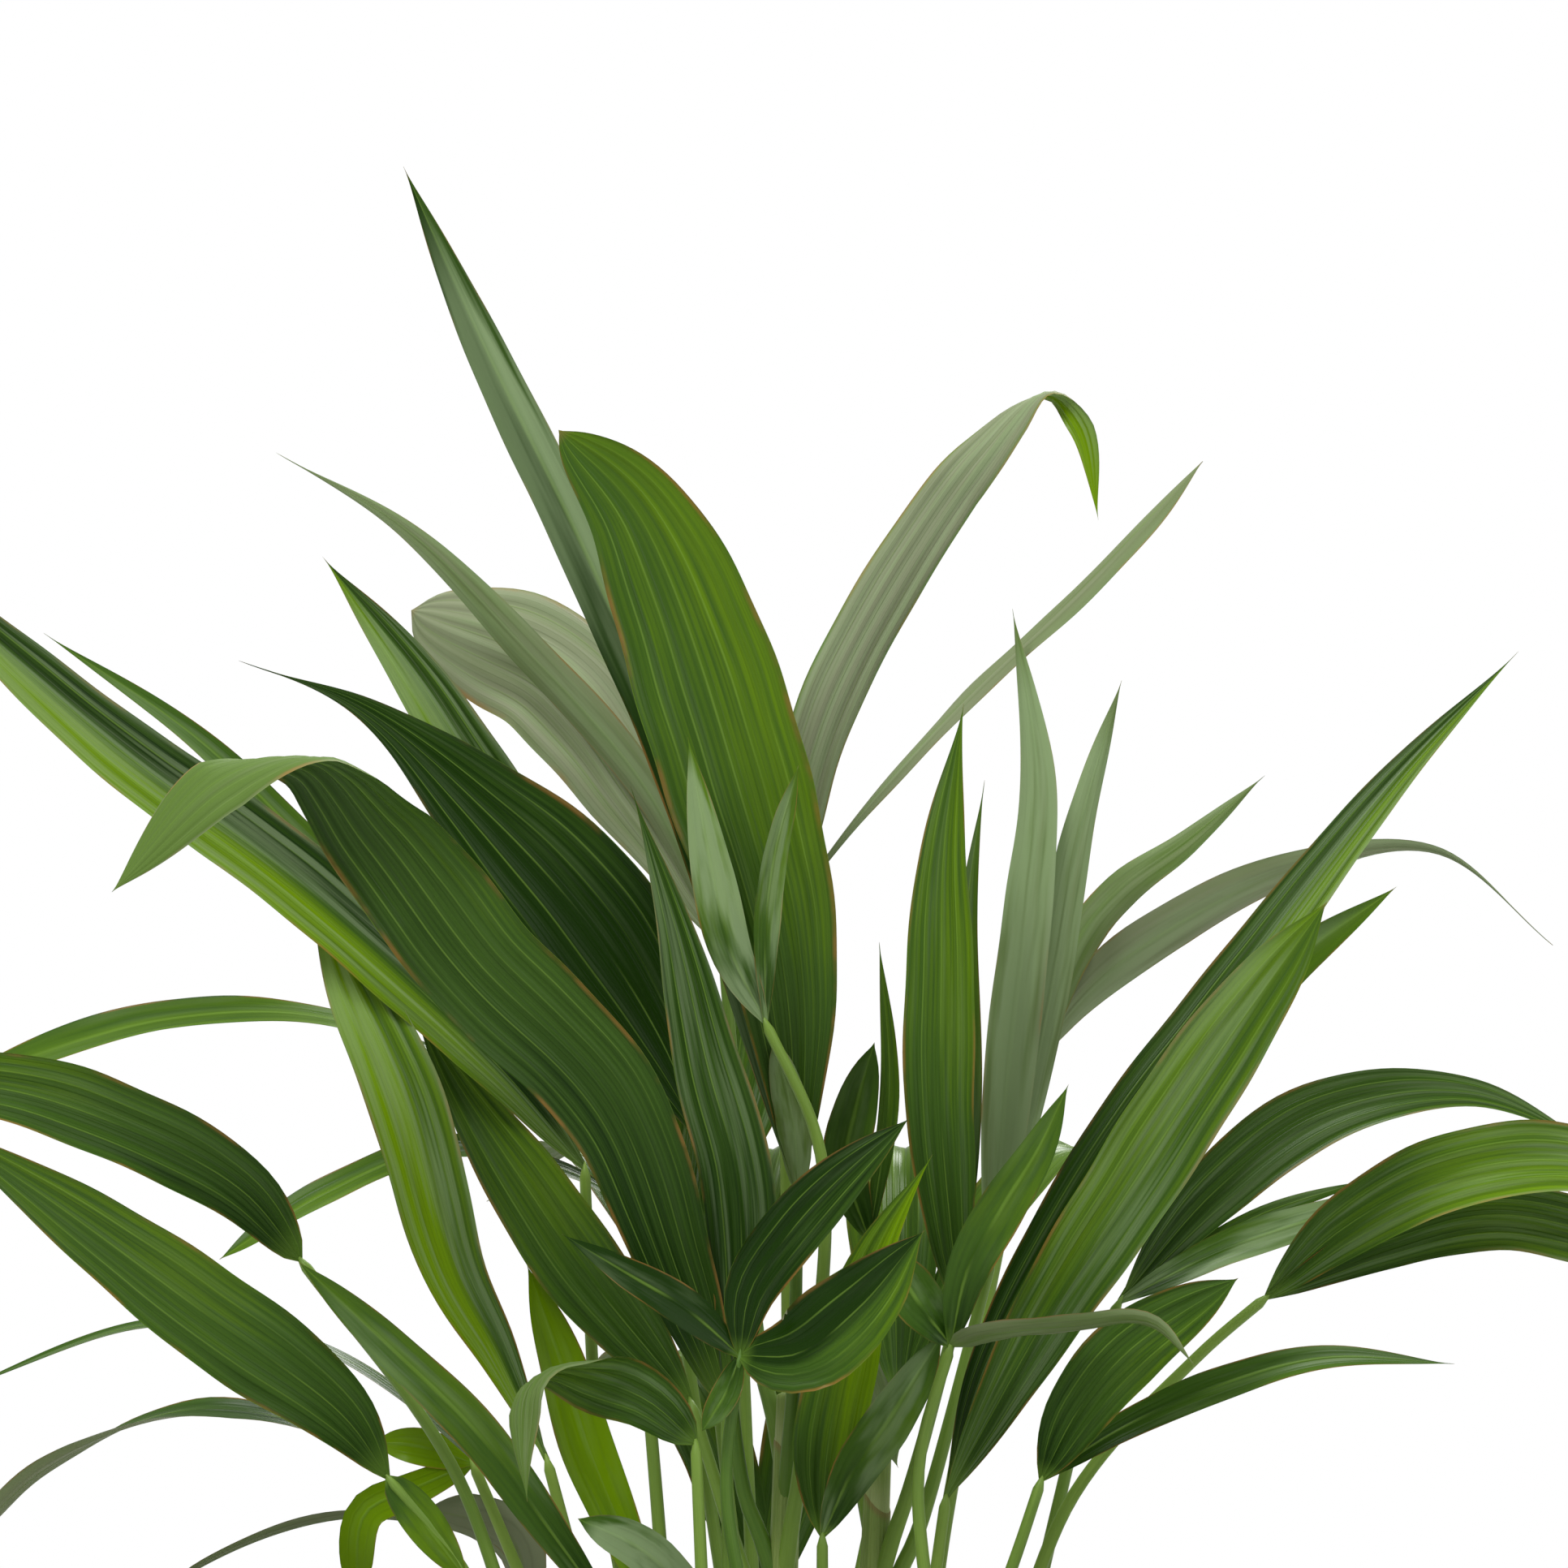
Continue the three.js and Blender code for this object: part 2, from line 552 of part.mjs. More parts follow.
// The fronds of one tier stand round the clump; each has two lobes that arch outwards on either side.
function tierFronds(tier) {
  const fronds = []
  for (let i = 0; i < tier.count; i += 1) {
    const bearing = tier.from + (tier.sweep * i) / tier.count + draw(-STRAY_BEARING, STRAY_BEARING)
    const reach = tier.out * draw(...STRAY_REACH)
    const lift = (i % 2 === 0 ? 1 : -1) * tier.stagger + draw(-STRAY_LIFT, STRAY_LIFT)
    const at = (angle, out, up) => [
      out * Math.cos(angle * DEGREE),
      out * Math.sin(angle * DEGREE),
      up + lift,
    ]
    const fork = at(bearing, tier.forkOut, tier.forkUp)
    const lobe = (hand) => {
      const angle = bearing + hand * TIER_LOBE_ANGLE
      const middle = at(angle, (tier.forkOut + reach) / 2, (tier.forkUp + tier.up) / 2 + tier.sag)
      const tip = at(angle + hand * TIER_TIP_ANGLE, reach, tier.up - (hand > 0 ? 0 : TIER_LOBE_LIFT))
      return {
        by: [middle],
        tip,
        width: tier.width,
        swell: TIER_SWELL,
        body: TIER_BODY,
        turn: [0, 0],
        facing: [0, 0, 1],
      }
    }
    fronds.push({
      name: `frond_${tier.name}_${i + 1}`,
      shoot: nearestShoot(fork[0], fork[1]),
      leaves: tier.leaves + draw(-STRAY_LEAVES, STRAY_LEAVES),
      fork,
      blades: [lobe(1), lobe(-1)],
    })
  }
  return fronds
}

function lathe(profile) {
  const points = profile.map(([radius, height]) => new THREE.Vector2(radius, height))
  const geometry = new THREE.LatheGeometry(points, POT_FACETS)
  geometry.rotateX(Math.PI / 2)
  return toSolid(geometry)
}

function potSolid() {
  const neck = POT_HEIGHT - POT_RIM_HEIGHT
  const inner = POT_RIM_RADIUS - POT_WALL - POT_EASE
  return lathe([
    [0, 0],
    [POT_FOOT_RADIUS, 0],
    [POT_FOOT_RADIUS + POT_EASE, POT_EDGE],
    [POT_NECK_RADIUS, neck],
    [POT_RIM_RADIUS - POT_EASE, neck + POT_EASE],
    [POT_RIM_RADIUS, neck + POT_RIM_ROUND],
    [POT_RIM_RADIUS, POT_HEIGHT - POT_EDGE],
    [POT_RIM_RADIUS - POT_EDGE, POT_HEIGHT],
    [inner + POT_EASE, POT_HEIGHT],
    [inner, POT_HEIGHT - POT_EDGE],
    [POT_NECK_RADIUS - POT_WALL, neck],
    [POT_FOOT_RADIUS - POT_WALL + POT_EASE, POT_FLOOR],
    [0, POT_FLOOR],
  ])
}

// The compost fills the pot and stays clear of its wall and floor.
function compostSolid() {
  const neck = POT_HEIGHT - POT_RIM_HEIGHT
  const inner = POT_RIM_RADIUS - POT_WALL - POT_EASE
  const neckInner = POT_NECK_RADIUS - POT_WALL
  const fullness = (COMPOST_TOP - neck) / (POT_HEIGHT - POT_EDGE - neck)
  return lathe([
    [0, POT_FLOOR + CLEAR],
    [POT_FOOT_RADIUS - POT_WALL + POT_EASE - CLEAR * 2, POT_FLOOR + CLEAR],
    [neckInner - CLEAR * 2, neck],
    [THREE.MathUtils.lerp(neckInner, inner, fullness) - CLEAR * 2, COMPOST_TOP],
    [0, COMPOST_TOP],
  ])
}

const palm = new THREE.Group()
palm.add(toMesh('pot', potSolid(), CLAY))
palm.add(toMesh('compost', compostSolid(), COMPOST))
for (const [name, shoot] of Object.entries(SHOOTS)) {
  palm.add(toMesh(`shoot_${name}`, shootSolid(shoot), SHEATH))
}
const tiered = TIERS.flatMap(tierFronds)
for (const frond of [...FRONDS, ...tiered]) {
  palm.add(toMesh(frond.name, frondSolid(frond), LEAF))
}

export default palm
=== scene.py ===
"""A young areca palm in a plain clay pot: pleated blades, ribbed sheaths, crumbly compost and fired clay."""

import math

import bmesh
import bpy
import numpy as np
from mathutils import Matrix, Vector, noise


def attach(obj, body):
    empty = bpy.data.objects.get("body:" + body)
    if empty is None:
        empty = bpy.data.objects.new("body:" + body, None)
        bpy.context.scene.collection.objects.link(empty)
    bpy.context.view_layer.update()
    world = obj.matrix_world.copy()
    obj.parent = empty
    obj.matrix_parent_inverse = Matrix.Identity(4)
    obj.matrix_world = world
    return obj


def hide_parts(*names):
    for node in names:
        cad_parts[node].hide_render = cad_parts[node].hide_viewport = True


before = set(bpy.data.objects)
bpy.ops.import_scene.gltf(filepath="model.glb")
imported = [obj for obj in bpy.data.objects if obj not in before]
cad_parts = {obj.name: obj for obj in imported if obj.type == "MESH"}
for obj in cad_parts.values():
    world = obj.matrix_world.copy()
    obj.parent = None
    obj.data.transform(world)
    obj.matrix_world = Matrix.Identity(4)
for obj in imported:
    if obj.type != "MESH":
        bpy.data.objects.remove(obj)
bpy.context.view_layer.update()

bl_info = {
    "name": "Potted areca palm",
    "version": (1, 0, 0),
    "blender": (4, 5, 0),
    "location": "View3D > Sidebar > Palm",
    "description": "Builds a young areca palm in its clay pot, its materials and its stage",
    "category": "Add Mesh",
}

MM = 0.001

# Pot and compost, in millimetres
POT_HEIGHT = 112
POT_FOOT_RADIUS = 45
POT_NECK_RADIUS = 58
POT_RIM_RADIUS = 64
POT_RIM_HEIGHT = 24
POT_WALL = 5
POT_FLOOR = 8
POT_WOBBLE = 0.12
COMPOST_TOP = 97
COMPOST_FACETS = 96
CRUMB_RADIUS = 2.1
CLEAR = 0.3

# Shoots and stalks, in millimetres, shares or counts
SHOOT_FOOT_RADIUS = 4.4
SHOOT_TOP_RADIUS = 2.6
SHOOT_FLARE = 1.35
SHOOT_CUT = 4
SHOOT_BOW = 4
SHOOT_TIP = 1.5
SHOOT_COLUMNS = 36
SHOOT_ROWS = 150
SHEATHS = 4
SHEATH_START = 0.35
SHEATH_SLANT = 0.09
SHEATH_STEP = 0.08
SHEATH_SINK = 0.03
SHEATH_RIB = 0.012
SHEATH_RIBS = 12
STALK_FOOT_RADIUS = 1.6
STALK_FORK_RADIUS = 1.15
STALK_RISE = 10
STALK_SPREAD = 0.4
STALK_OVERLAP = 1.5
STALK_ROOT = 14
STALK_POINT = 3
STALK_TIP = 0.02
STALK_FLARE = 0.3
STALK_FLARE_LENGTH = 20
STALK_CHANNEL = 0.22
STALK_COLUMNS = 14
FEWEST_STALK_ROWS = 8

# Blades, in millimetres, shares, counts or radians
BLADE_FOOT_WIDTH = 1.26
BLADE_FOOT_OVERLAP = 0.3
BLADE_FOLD = 0.2
BLADE_FOLD_SWAY = 0.25
BLADE_FOLD_WAVE = 5
LEAST_BODY = 0.35
BLADE_DRAWN_OUT = 0.05
COLUMNS_PER_RIB = 8
FEWEST_BLADE_ROWS = 18
LAST_ROW = 0.999
CROWDING = 1.3
MIDRIB_ROUNDING = 0.01
MARGIN_THINNING = 0.75
MARGIN_WAVE = 0.06
MARGIN_RIPPLE = 0.012
SLOW_WAVE = (9, 15)
QUICK_WAVE = (22, 34)
PHASE = (0, 6)
FULL_PLEAT_WIDTH = 14
SLIM_LANES = 0.5

# Fronds of the tiers, in degrees, millimetres or shares
TIER_SWAY = 6
TIER_REACH = (0.92, 1.06)
TIER_LIFT = 4
TIER_LEAVES = 3
TIER_LOBE_ANGLE = 11
TIER_TIP_ANGLE = 3
TIER_LOBE_LIFT = 12
TIER_SWELL = 0.48
TIER_BODY = 0.8

# The map of an underside starts this far along, which tells the two sides apart.
UNDER = 40.0
TURN = 2 * math.pi
SEED = 5501
DRAW_FACTOR = 16807
DRAW_RANGE = 2147483647

# Colours, as linear red, green and blue
PLAIN_GREEN = (0.04, 0.091, 0.01)
LIME_GREEN = (0.125, 0.23, 0.001)
DEEP_GREEN = (0.009, 0.029, 0.002)
UNDERSIDE_GREY = (0.19, 0.215, 0.13)
UNDERSIDE_GREEN = (0.08, 0.14, 0.025)
LINE_GREEN = (0.008, 0.025, 0.004)
RIB_GREEN = (0.16, 0.28, 0.04)
MARGIN_BROWN = (0.24, 0.12, 0.03)
TIP_BROWN = (0.22, 0.14, 0.05)
FOOT_GREEN = (0.13, 0.24, 0.03)
# Whitish green of the painted sheen
SHEEN_GREEN = (0.24, 0.33, 0.17)
STALK_GREEN = (0.06, 0.135, 0.012)
STALK_YELLOW = (0.19, 0.3, 0.045)
SHEATH_GREEN = (0.08, 0.15, 0.02)
SHEATH_YELLOW = (0.3, 0.38, 0.11)
SHEATH_PALE = (0.42, 0.46, 0.24)
SHEATH_BROWN = (0.2, 0.12, 0.05)
SOIL_BROWN = (0.2, 0.15, 0.08)
CLAY_RED = (0.4, 0.155, 0.068)
CLAY_ORANGE = (0.5, 0.225, 0.11)
CLAY_GRAIN = (0.24, 0.09, 0.045)
CLAY_BLOOM = (0.62, 0.55, 0.48)
COMPOST_BLACK = (0.018, 0.011, 0.007)
COMPOST_BROWN = (0.06, 0.036, 0.02)
COMPOST_FIBRE = (0.13, 0.08, 0.045)
FLOOR_GREY = (0.56, 0.56, 0.56)
FLOOR_WHITE = (0.6, 0.6, 0.6)

# Stage, in metres and degrees. The camera stands level before the plant, at the height of the crown.
CAMERA_PLACE = (0.0, -4.5, 0.3642)
CAMERA_LENS = 493.2
CAMERA_REACH = 30.0
SCREEN_PLACE = (0.0, 12.0, 0.8)
BACKDROP_TINT = (1, 0.98, 0.9, 1)
BACKDROP_STRENGTH = 0.5
LIGHT_AIM = (0, 0, 0.32)
# Each soft light has a name, a place, a size and a power in watts.
LIGHTS = (
    ("key", (-0.9, -1.5, 2.0), 0.9, 43),
    ("fill", (1.7, -1.3, 1.0), 1.2, 12),
    ("back", (0.6, 1.5, 1.9), 0.9, 34),
    ("top", (0.0, 0.2, 2.4), 0.8, 28),
)

# Tone of each blade from its one margin to the other: -1 is deep green, 0 plain green and 1 lime. A third
# number is the tone of its underside. Besides the leaves' own colour, these numbers hold painted shade and
# light: a blade or a half turned away from the lamps is given a darker tone, one turned to them a lighter
# tone.
TONES_AND_SHADE = {
    "spear": [(-0.8, -0.3), (0.05, 0.35), (0.5, 0.5)],
    "sage": [(-0.5, -0.3), (0, 0.1)],
    "hook": [(1, 1.2, -0.5), (-0.1, -0.1, -0.2)],
    "left_upper": [(-1.15, -0.7), (0.6, -0.5)],
    "folded": [(-0.35, -0.1, 0.6), (-0.5, -0.4)],
    "left_high": [(0.9, -0.7), (0.1, 0)],
    "pale_left": [(1.6, 0.3)],
    "dark_left": [(0.1, 0.3)],
    "centre": [(0.3, 0.4), (0.2, 0.3)],
    "right_upright": [(0.1, 0.35), (0.1, 0.2)],
    "right_pale": [(-0.1, 0.1, 0.35), (0.3, 0.4, 0.35)],
    "right_arch": [(0.3, 0.3), (-0.3, -0.2)],
    "right_long": [(0.4, 0.1), (-0.4, 0.5), (0.2, 0.3)],
    "right_middle": [(-0.1, 0), (0.1, 0.1), (0, 0)],
    "right_broad": [(0.3, 0.5), (0.1, 0.2)],
    "right_low": [(-0.2, 0), (-0.2, 0.1)],
    "middle_slim": [(0.2, 0.2), (0, 0)],
    "lime": [(0, 0.1), (0.3, 1)],
    "curled": [(0.1, 0.2, 0.45)],
    "behind_left": [(1, 1.3)],
    "left_veined": [(-0.2, 0.1)],
    "left_slim": [(0.1, 0.2), (-0.2, -0.1)],
    "left_low": [(0, 0.2), (-0.3, -0.3), (0.4, 0.4)],
    "left_drooping": [(0.3, 0.2), (0.3, 0.1)],
    "left_grey": [(-0.4, -0.3), (-0.7, -0.7)],
    "left_yellow": [(1.6, 1.6), (1.6, 1.8)],
    "low_shiny": [(-0.2, 0)],
    "front_star": [(-1.25, -1.35), (-0.9, -0.6), (-1.75, 0.1), (0, 0)],
    "front_right": [(0.1, 0.1), (-0.2, -0.1), (-0.1, -0.1, 0.2)],
}

# Share of painted sheen on each blade, or on its two halves: whitish-green patches painted into the colour
# that stand in for the glossy reflection of the lamps
PAINTED_SHEENS = {
    "spear": [(0.55, 1), 0, 0.6],
    "sage": [0.3, 0.5],
    "hook": [0.5, 0.3],
    "left_upper": [0.1, 0.6],
    "folded": [0.05, 0.35],
    "left_high": [0.5, 0.3],
    "pale_left": [0.5],
    "dark_left": [0.1],
    "centre": [0.9, 0.6],
    "right_upright": [0.15, 0.3],
    "right_pale": [0.95, 0.9],
    "right_arch": [0.3, 0.6],
    "right_long": [0.4, (0.2, 0.6), 0.4],
    "right_middle": [0.3, 0.7, 0.3],
    "right_broad": [0.35, 0.3],
    "lime": [0.5, 0],
    "left_veined": [0.1],
    "left_low": [0.05, 0.1, 0.1],
    "low_shiny": [0.9],
}

# Each shoot leans from its foot on the compost to its top, in millimetres.
SHOOTS = {
    "left_front": [(-27, -9), (-42, -15, 166)],
    "left_back": [(-23, 13), (-33, 19, 172)],
    "front_left": [(-11, -21), (-15, -31, 174)],
    "middle": [(-3, 1), (1, 3, 236)],
    "front": [(5, -19), (6, -26, 168)],
    "back": [(1, 25), (-1, 32, 188)],
    "right_middle": [(15, 3), (20, 5, 226)],
    "right_front": [(19, -17), (23, -27, 168)],
    "right_back": [(28, 11), (39, 17, 178)],
}


def blade(points, width, turn, swell=0.5, body=0.7, drawn_out=BLADE_DRAWN_OUT, facing=(0, -1, 0)):
    """A blade runs from its fork through points to its tip, in millimetres. It swells to its width at a share
    of its length, the more fully the smaller its body, and is turned about its own line, in degrees."""
    return {"points": points, "width": width, "turn": turn, "swell": swell, "body": body,
            "drawn_out": drawn_out, "facing": facing}


def frond(name, shoot, leaves, fork, blades, bend=(), side=0):
    """A stalk leaves its shoot at a height and ends at its fork, by way of a few points where it bends. side
    turns its start round the shoot, in degrees."""
    return {"name": name, "shoot": shoot, "leaves": leaves, "fork": fork, "blades": blades, "bend": bend,
            "side": side}


FRONDS = [
    frond("spear", "middle", 226, (3, -3, 280), [
        blade([(-20, 3, 362), (-40, 7, 410), (-64, 11, 459), (-80, 14, 494)],
            12, [-30, -25, -15], swell=0.55, body=0.8),
        blade([(0, -9, 324), (-8, -14, 358), (-30, -20, 420), (-47, -24, 438)],
            31, [15, 5, -10], swell=0.58, body=0.9, drawn_out=0.008),
        blade([(2, -8, 292), (-2, -12, 311)], 7.5, [170], body=0.6),
    ]),
    frond("sage", "middle", 232, (-13, 22, 331), [
        blade([(-30, 29, 364), (-48, 38, 388), (-79, 52, 401)],
            30, [190, 200, 195], swell=0.64, body=0.95, drawn_out=0.01),
        blade([(-29, 19, 363), (-55, 21, 393), (-80, 23, 418), (-107, 24, 434)],
            9, [150, 160, 170], swell=0.4, body=1),
    ]),
    frond("hook", "back", 186, (0, 26, 338), [
        blade([(6, 30, 370), (16, 34, 394), (41, 42, 433), (56, 46, 447), (63, 45, 440), (66.5, 44, 420)],
            13.5, [200, 198, 195, 192, 190, 185, 130, 20, 0], swell=0.35, body=0.36),
        blade([(17, 24, 359), (38, 21, 382), (60, 18, 403), (88, 14, 432)],
            9.5, [115], swell=0.7, body=0.95),
    ]),
    frond("left_upper", "middle", 206, (-15.5, 3, 287), [
        blade([(-26, -1, 311), (-42, -5, 336), (-62, -8, 358), (-88, -10, 380), (-114, -11, 390)],
            31, [0, 5, 15], swell=0.38, body=1.5),
        blade([(-33, 7, 318), (-52, 11, 347), (-66, 13, 369), (-79, 14, 389), (-97, 15, 412)],
            14, [10], swell=0.58, body=1.3),
    ]),
    frond("folded", "front_left", 172, (-12, -26, 236), [
        blade([(-22, -30, 262), (-36, -40, 298), (-64, -54, 328), (-83, -66, 354),
             (-97, -76, 369), (-115, -85, 366), (-138, -90, 342)],
            25, [10, 8, 5, 3, 0, -45, -135, -150], swell=0.55, body=0.55),
        blade([(-9, -28, 260), (-10, -30, 283), (-16, -31, 306), (-23, -31, 336), (-32, -30, 364)],
            15.5, [10, 0, -10], swell=0.4, body=0.9),
    ]),
    frond("left_high", "left_back", 168, (-42, 17, 285), [
        blade([(-61, 4, 306), (-100, -5, 342), (-141, -18, 373), (-193, -34, 420)],
            17, [10, 20, 10], swell=0.45),
        blade([(-62, 16, 311), (-100, 19, 351), (-124, 22, 374), (-156, 26, 396)], 7, [20], body=0.9),
    ], bend=[(-39, 28, 225)]),
    frond("pale_left", "left_back", 160, (-50, -1, 224), [
        blade([(-60, -2, 245), (-69, -3, 262), (-80, -3, 299), (-92, 0, 326), (-99, 2, 341)],
            16.5, [0, 10, 10], swell=0.6, body=0.95),
    ]),
    frond("dark_left", "middle", 190, (-20, 9, 236), [
        blade([(-42, 10, 262), (-55, 11, 281), (-67, 11, 299), (-79, 12, 319)],
            18, [0], swell=0.4, body=0.8),
    ]),
    frond("centre", "middle", 210, (-4.5, -20, 316), [
        blade([(-11, -24, 329), (-15, -27, 346), (-20, -30, 374)], 9.5, [10, 0, 0], swell=0.4),
        blade([(-4, -23, 334), (-2, -25, 350), (3, -27, 368)], 6.5, [30]),
    ], bend=[(8, -13, 285)]),
    frond("right_upright", "right_middle", 206, (37, -9, 256), [
        blade([(33, -13, 295), (33, -16, 325), (33.5, -17, 350), (37.5, -17, 381)],
            15.5, [-10, -15, -20], swell=0.45, body=0.6, drawn_out=0.12),
        blade([(38, -6, 300), (38, -4, 335), (42, -2, 365)], 7, [25], swell=0.45, body=1),
    ]),
    frond("right_pale", "right_middle", 198, (44, 6, 266), [
        blade([(47, 8, 305), (51, 10, 340), (53, 11, 366), (48, 13, 401)],
            11.5, [170, 160, 160], swell=0.4, body=0.6),
        blade([(51, 12, 296), (57, 14, 326), (62, 16, 354), (71, 17, 386)], 9, [200], swell=0.45, body=0.6),
    ]),
    frond("right_arch", "right_back", 172, (53, 28, 307), [
        blade([(62, 34, 331), (71, 40, 342), (85, 48, 352), (102, 56, 366)], 9, [150, 150, 160], swell=0.4),
        blade([(62, 32, 318), (75, 36, 329), (108, 46, 346), (138, 52, 350), (163, 54, 330)],
            12, [-150, -150, -130, -120], swell=0.3, body=0.9),
    ]),
    frond("right_long", "right_front", 160, (34, -20, 217), [
        blade([(55, -36, 254), (71, -47, 279), (89, -58, 307), (112, -70, 340)],
            19, [0, -10, -10], swell=0.6, body=0.75),
        blade([(43, -14, 244), (67, -12, 286), (91, -8, 318), (127, -2, 364), (154, 4, 392)],
            13.5, [0, -10, -15], swell=0.45, body=0.8),
        blade([(66, -30, 273), (86, -38, 301), (102, -44, 324), (127, -50, 343)], 12, [10], swell=0.55),
    ]),
    frond("right_middle", "right_back", 164, (71, 2, 257), [
        blade([(91, 10, 279), (114, 20, 295), (145, 30, 299), (178, 38, 284)],
            15, [-10, -15, -25], swell=0.35, body=1),
        blade([(91, 2, 266), (105, 2, 271), (131, 2, 279)], 8, [-20]),
        blade([(98, 7, 273), (122, 9, 281)], 3.4, [0]),
    ], bend=[(66, 6, 246)], side=45),
    frond("right_broad", "right_back", 156, (102, -12, 258), [
        blade([(116, -22, 271), (136, -36, 282), (160, -50, 286), (200, -72, 276)],
            17, [-10, -20, -30], swell=0.45),
        blade([(125, -22, 269), (150, -36, 275), (206, -62, 258)], 15, [20, 20, 10]),
    ], bend=[(60, 2, 214), (86, -8, 244)]),
    frond("right_low", "right_front", 150, (54, -34, 221), [
        blade([(61, -40, 234), (72, -47, 247), (94, -56, 262)], 15.5, [0, -10, -10]),
        blade([(70, -32, 230), (90, -36, 239), (112, -41, 245), (139, -47, 244)], 7.5, [-20], swell=0.4),
    ], bend=[(47, -30, 200)]),
    frond("middle_slim", "right_middle", 218, (18, 9, 270), [
        blade([(22, 11, 300), (20, 12, 331)], 4.5, [20], swell=0.4),
        blade([(13, 8, 284), (15, 8, 296), (19, 8, 310)], 10, [0]),
    ]),
    frond("lime", "front", 150, (8, -24, 209), [
        blade([(14, -27, 221), (21, -29, 231), (33, -31, 250)], 11, [20]),
        blade([(9, -20, 223), (12, -20, 240), (19, -21, 266), (31, -22, 287)], 15.5, [-15], swell=0.35),
    ]),
    frond("curled", "front_left", 164, (-18.4, -42, 229), [
        blade([(-28, -46, 236), (-39, -50, 241), (-48, -56, 243), (-53, -62, 239),
             (-54, -65, 228), (-53, -66, 216)],
            14, [10, 10, -60, -150, -160], swell=0.35, body=0.6),
    ]),
    frond("behind_left", "left_back", 140, (-27, 11, 192), [
        blade([(-36, 13, 211), (-42, 14, 226), (-47, 15, 243), (-54, 16, 263)], 11.5, [10]),
    ]),
    frond("left_veined", "left_front", 156, (-102, -10, 266), [
        blade([(-113, -18, 279), (-134, -30, 291), (-164, -46, 301), (-203, -66, 300)],
            17.5, [20, 20, 25], swell=0.4, body=0.55),
    ], bend=[(-69, -12, 221)]),
    frond("left_slim", "left_front", 138, (-37, -16, 193), [
        blade([(-47, -19, 206), (-64, -25, 229), (-82, -30, 247), (-101, -34, 265)],
            9.5, [0, 10, 0], body=0.55),
        blade([(-64, 0, 222), (-98, 6, 246), (-133, 10, 250.5), (-176, 12, 236)],
            5, [60, 68, 60], swell=0.45, body=0.6),
    ]),
    frond("left_low", "left_front", 150, (-83.5, -26, 221), [
        blade([(-92, -34, 233), (-121, -50, 255), (-150, -64, 277), (-177, -76, 296)],
            20.5, [10, 15, 10], swell=0.4, body=0.75),
        blade([(-96, -20, 229), (-125, -16, 233), (-154, -12, 221), (-175, -10, 201)],
            10, [62, 62, 105, 125], swell=0.6, body=0.6),
        blade([(-77, -25, 213), (-66, -23, 198)], 8.5, [0], swell=0.4, body=0.5),
    ], bend=[(-66, -22, 199)]),
    frond("left_drooping", "left_back", 162, (-32, 22, 277), [
        blade([(-52, 27, 296), (-95, 40, 314), (-130, 50, 314), (-176, 60, 301)],
            11, [70, 60, 45], swell=0.8, body=1.5),
        blade([(-47, 24, 283), (-72, 26, 287), (-96, 28, 278), (-119, 28, 264)],
            8.5, [60, 50, 40], swell=0.6),
    ]),
    frond("left_grey", "left_back", 146, (-54, 20, 193), [
        blade([(-62, 21, 204), (-91, 22, 210), (-122, 22, 200), (-140, 22, 186)],
            5, [110, 115, 110], swell=0.45),
        blade([(-58, 17, 206), (-75, 15, 212)], 12, [150], body=0.5),
    ]),
    frond("left_yellow", "left_back", 152, (-66, 11, 223), [
        blade([(-76, 12, 225), (-86, 13, 226)], 8, [0]),
        blade([(-78, 12, 216), (-88, 12, 211), (-90, 12, 194)], 8, [0], swell=0.6, body=0.4),
    ]),
    frond("low_shiny", "middle", 150, (-15, -16, 189), [
        blade([(-28, -18, 203), (-43, -20, 211)], 10, [20], body=0.5),
    ]),
    frond("front_star", "front_left", 168, (-9, -44, 247), [
        blade([(-20, -47, 255), (-33, -50, 263), (-46, -52, 271)], 8.5, [20], swell=0.4),
        blade([(-7, -46, 259), (1, -48, 271), (11, -50, 282), (26, -52, 295)], 13, [0], swell=0.45),
        blade([(3, -50, 246), (16, -56, 256), (29, -62, 272)], 20, [-20], swell=0.42),
        blade([(-12, -45, 238), (-17, -46, 230)], 6, [0]),
    ], bend=[(-12, -38, 218)]),
    frond("front_right", "right_front", 164, (35, -40, 249), [
        blade([(38, -42, 263), (45, -44, 276), (53, -46, 289), (59, -48, 302)], 10, [0], swell=0.45),
        blade([(28, -39, 256), (21, -37, 268)], 11, [20]),
        blade([(43, -48, 250), (60, -54, 252), (76, -60, 253), (85, -64, 244)],
            7.5, [-140, -120, -130, -150], swell=0.3, body=0.4),
    ], bend=[(28, -36, 222)]),
]

# Tiers of fronds that close the crown at its back, sides and foot
TIERS = [
    {"name": "low", "count": 12, "from": 8, "sweep": 360, "leaves": 126, "fork_out": 66, "fork_up": 160,
     "out": 156, "up": 150, "stagger": 9, "width": 19, "sag": 24},
    {"name": "rear", "count": 3, "from": 70, "sweep": 54, "leaves": 150, "fork_out": 60, "fork_up": 214,
     "out": 148, "up": 252, "stagger": 22, "width": 21, "sag": 30},
    {"name": "crest", "count": 2, "from": 101, "sweep": 27, "leaves": 165, "fork_out": 54, "fork_up": 272,
     "out": 104, "up": 334, "stagger": 12, "width": 20, "sag": 14},
]


def length(name, description, millimetres):
    return bpy.props.FloatProperty(
        name=name, description=description, default=millimetres * MM, unit="LENGTH")


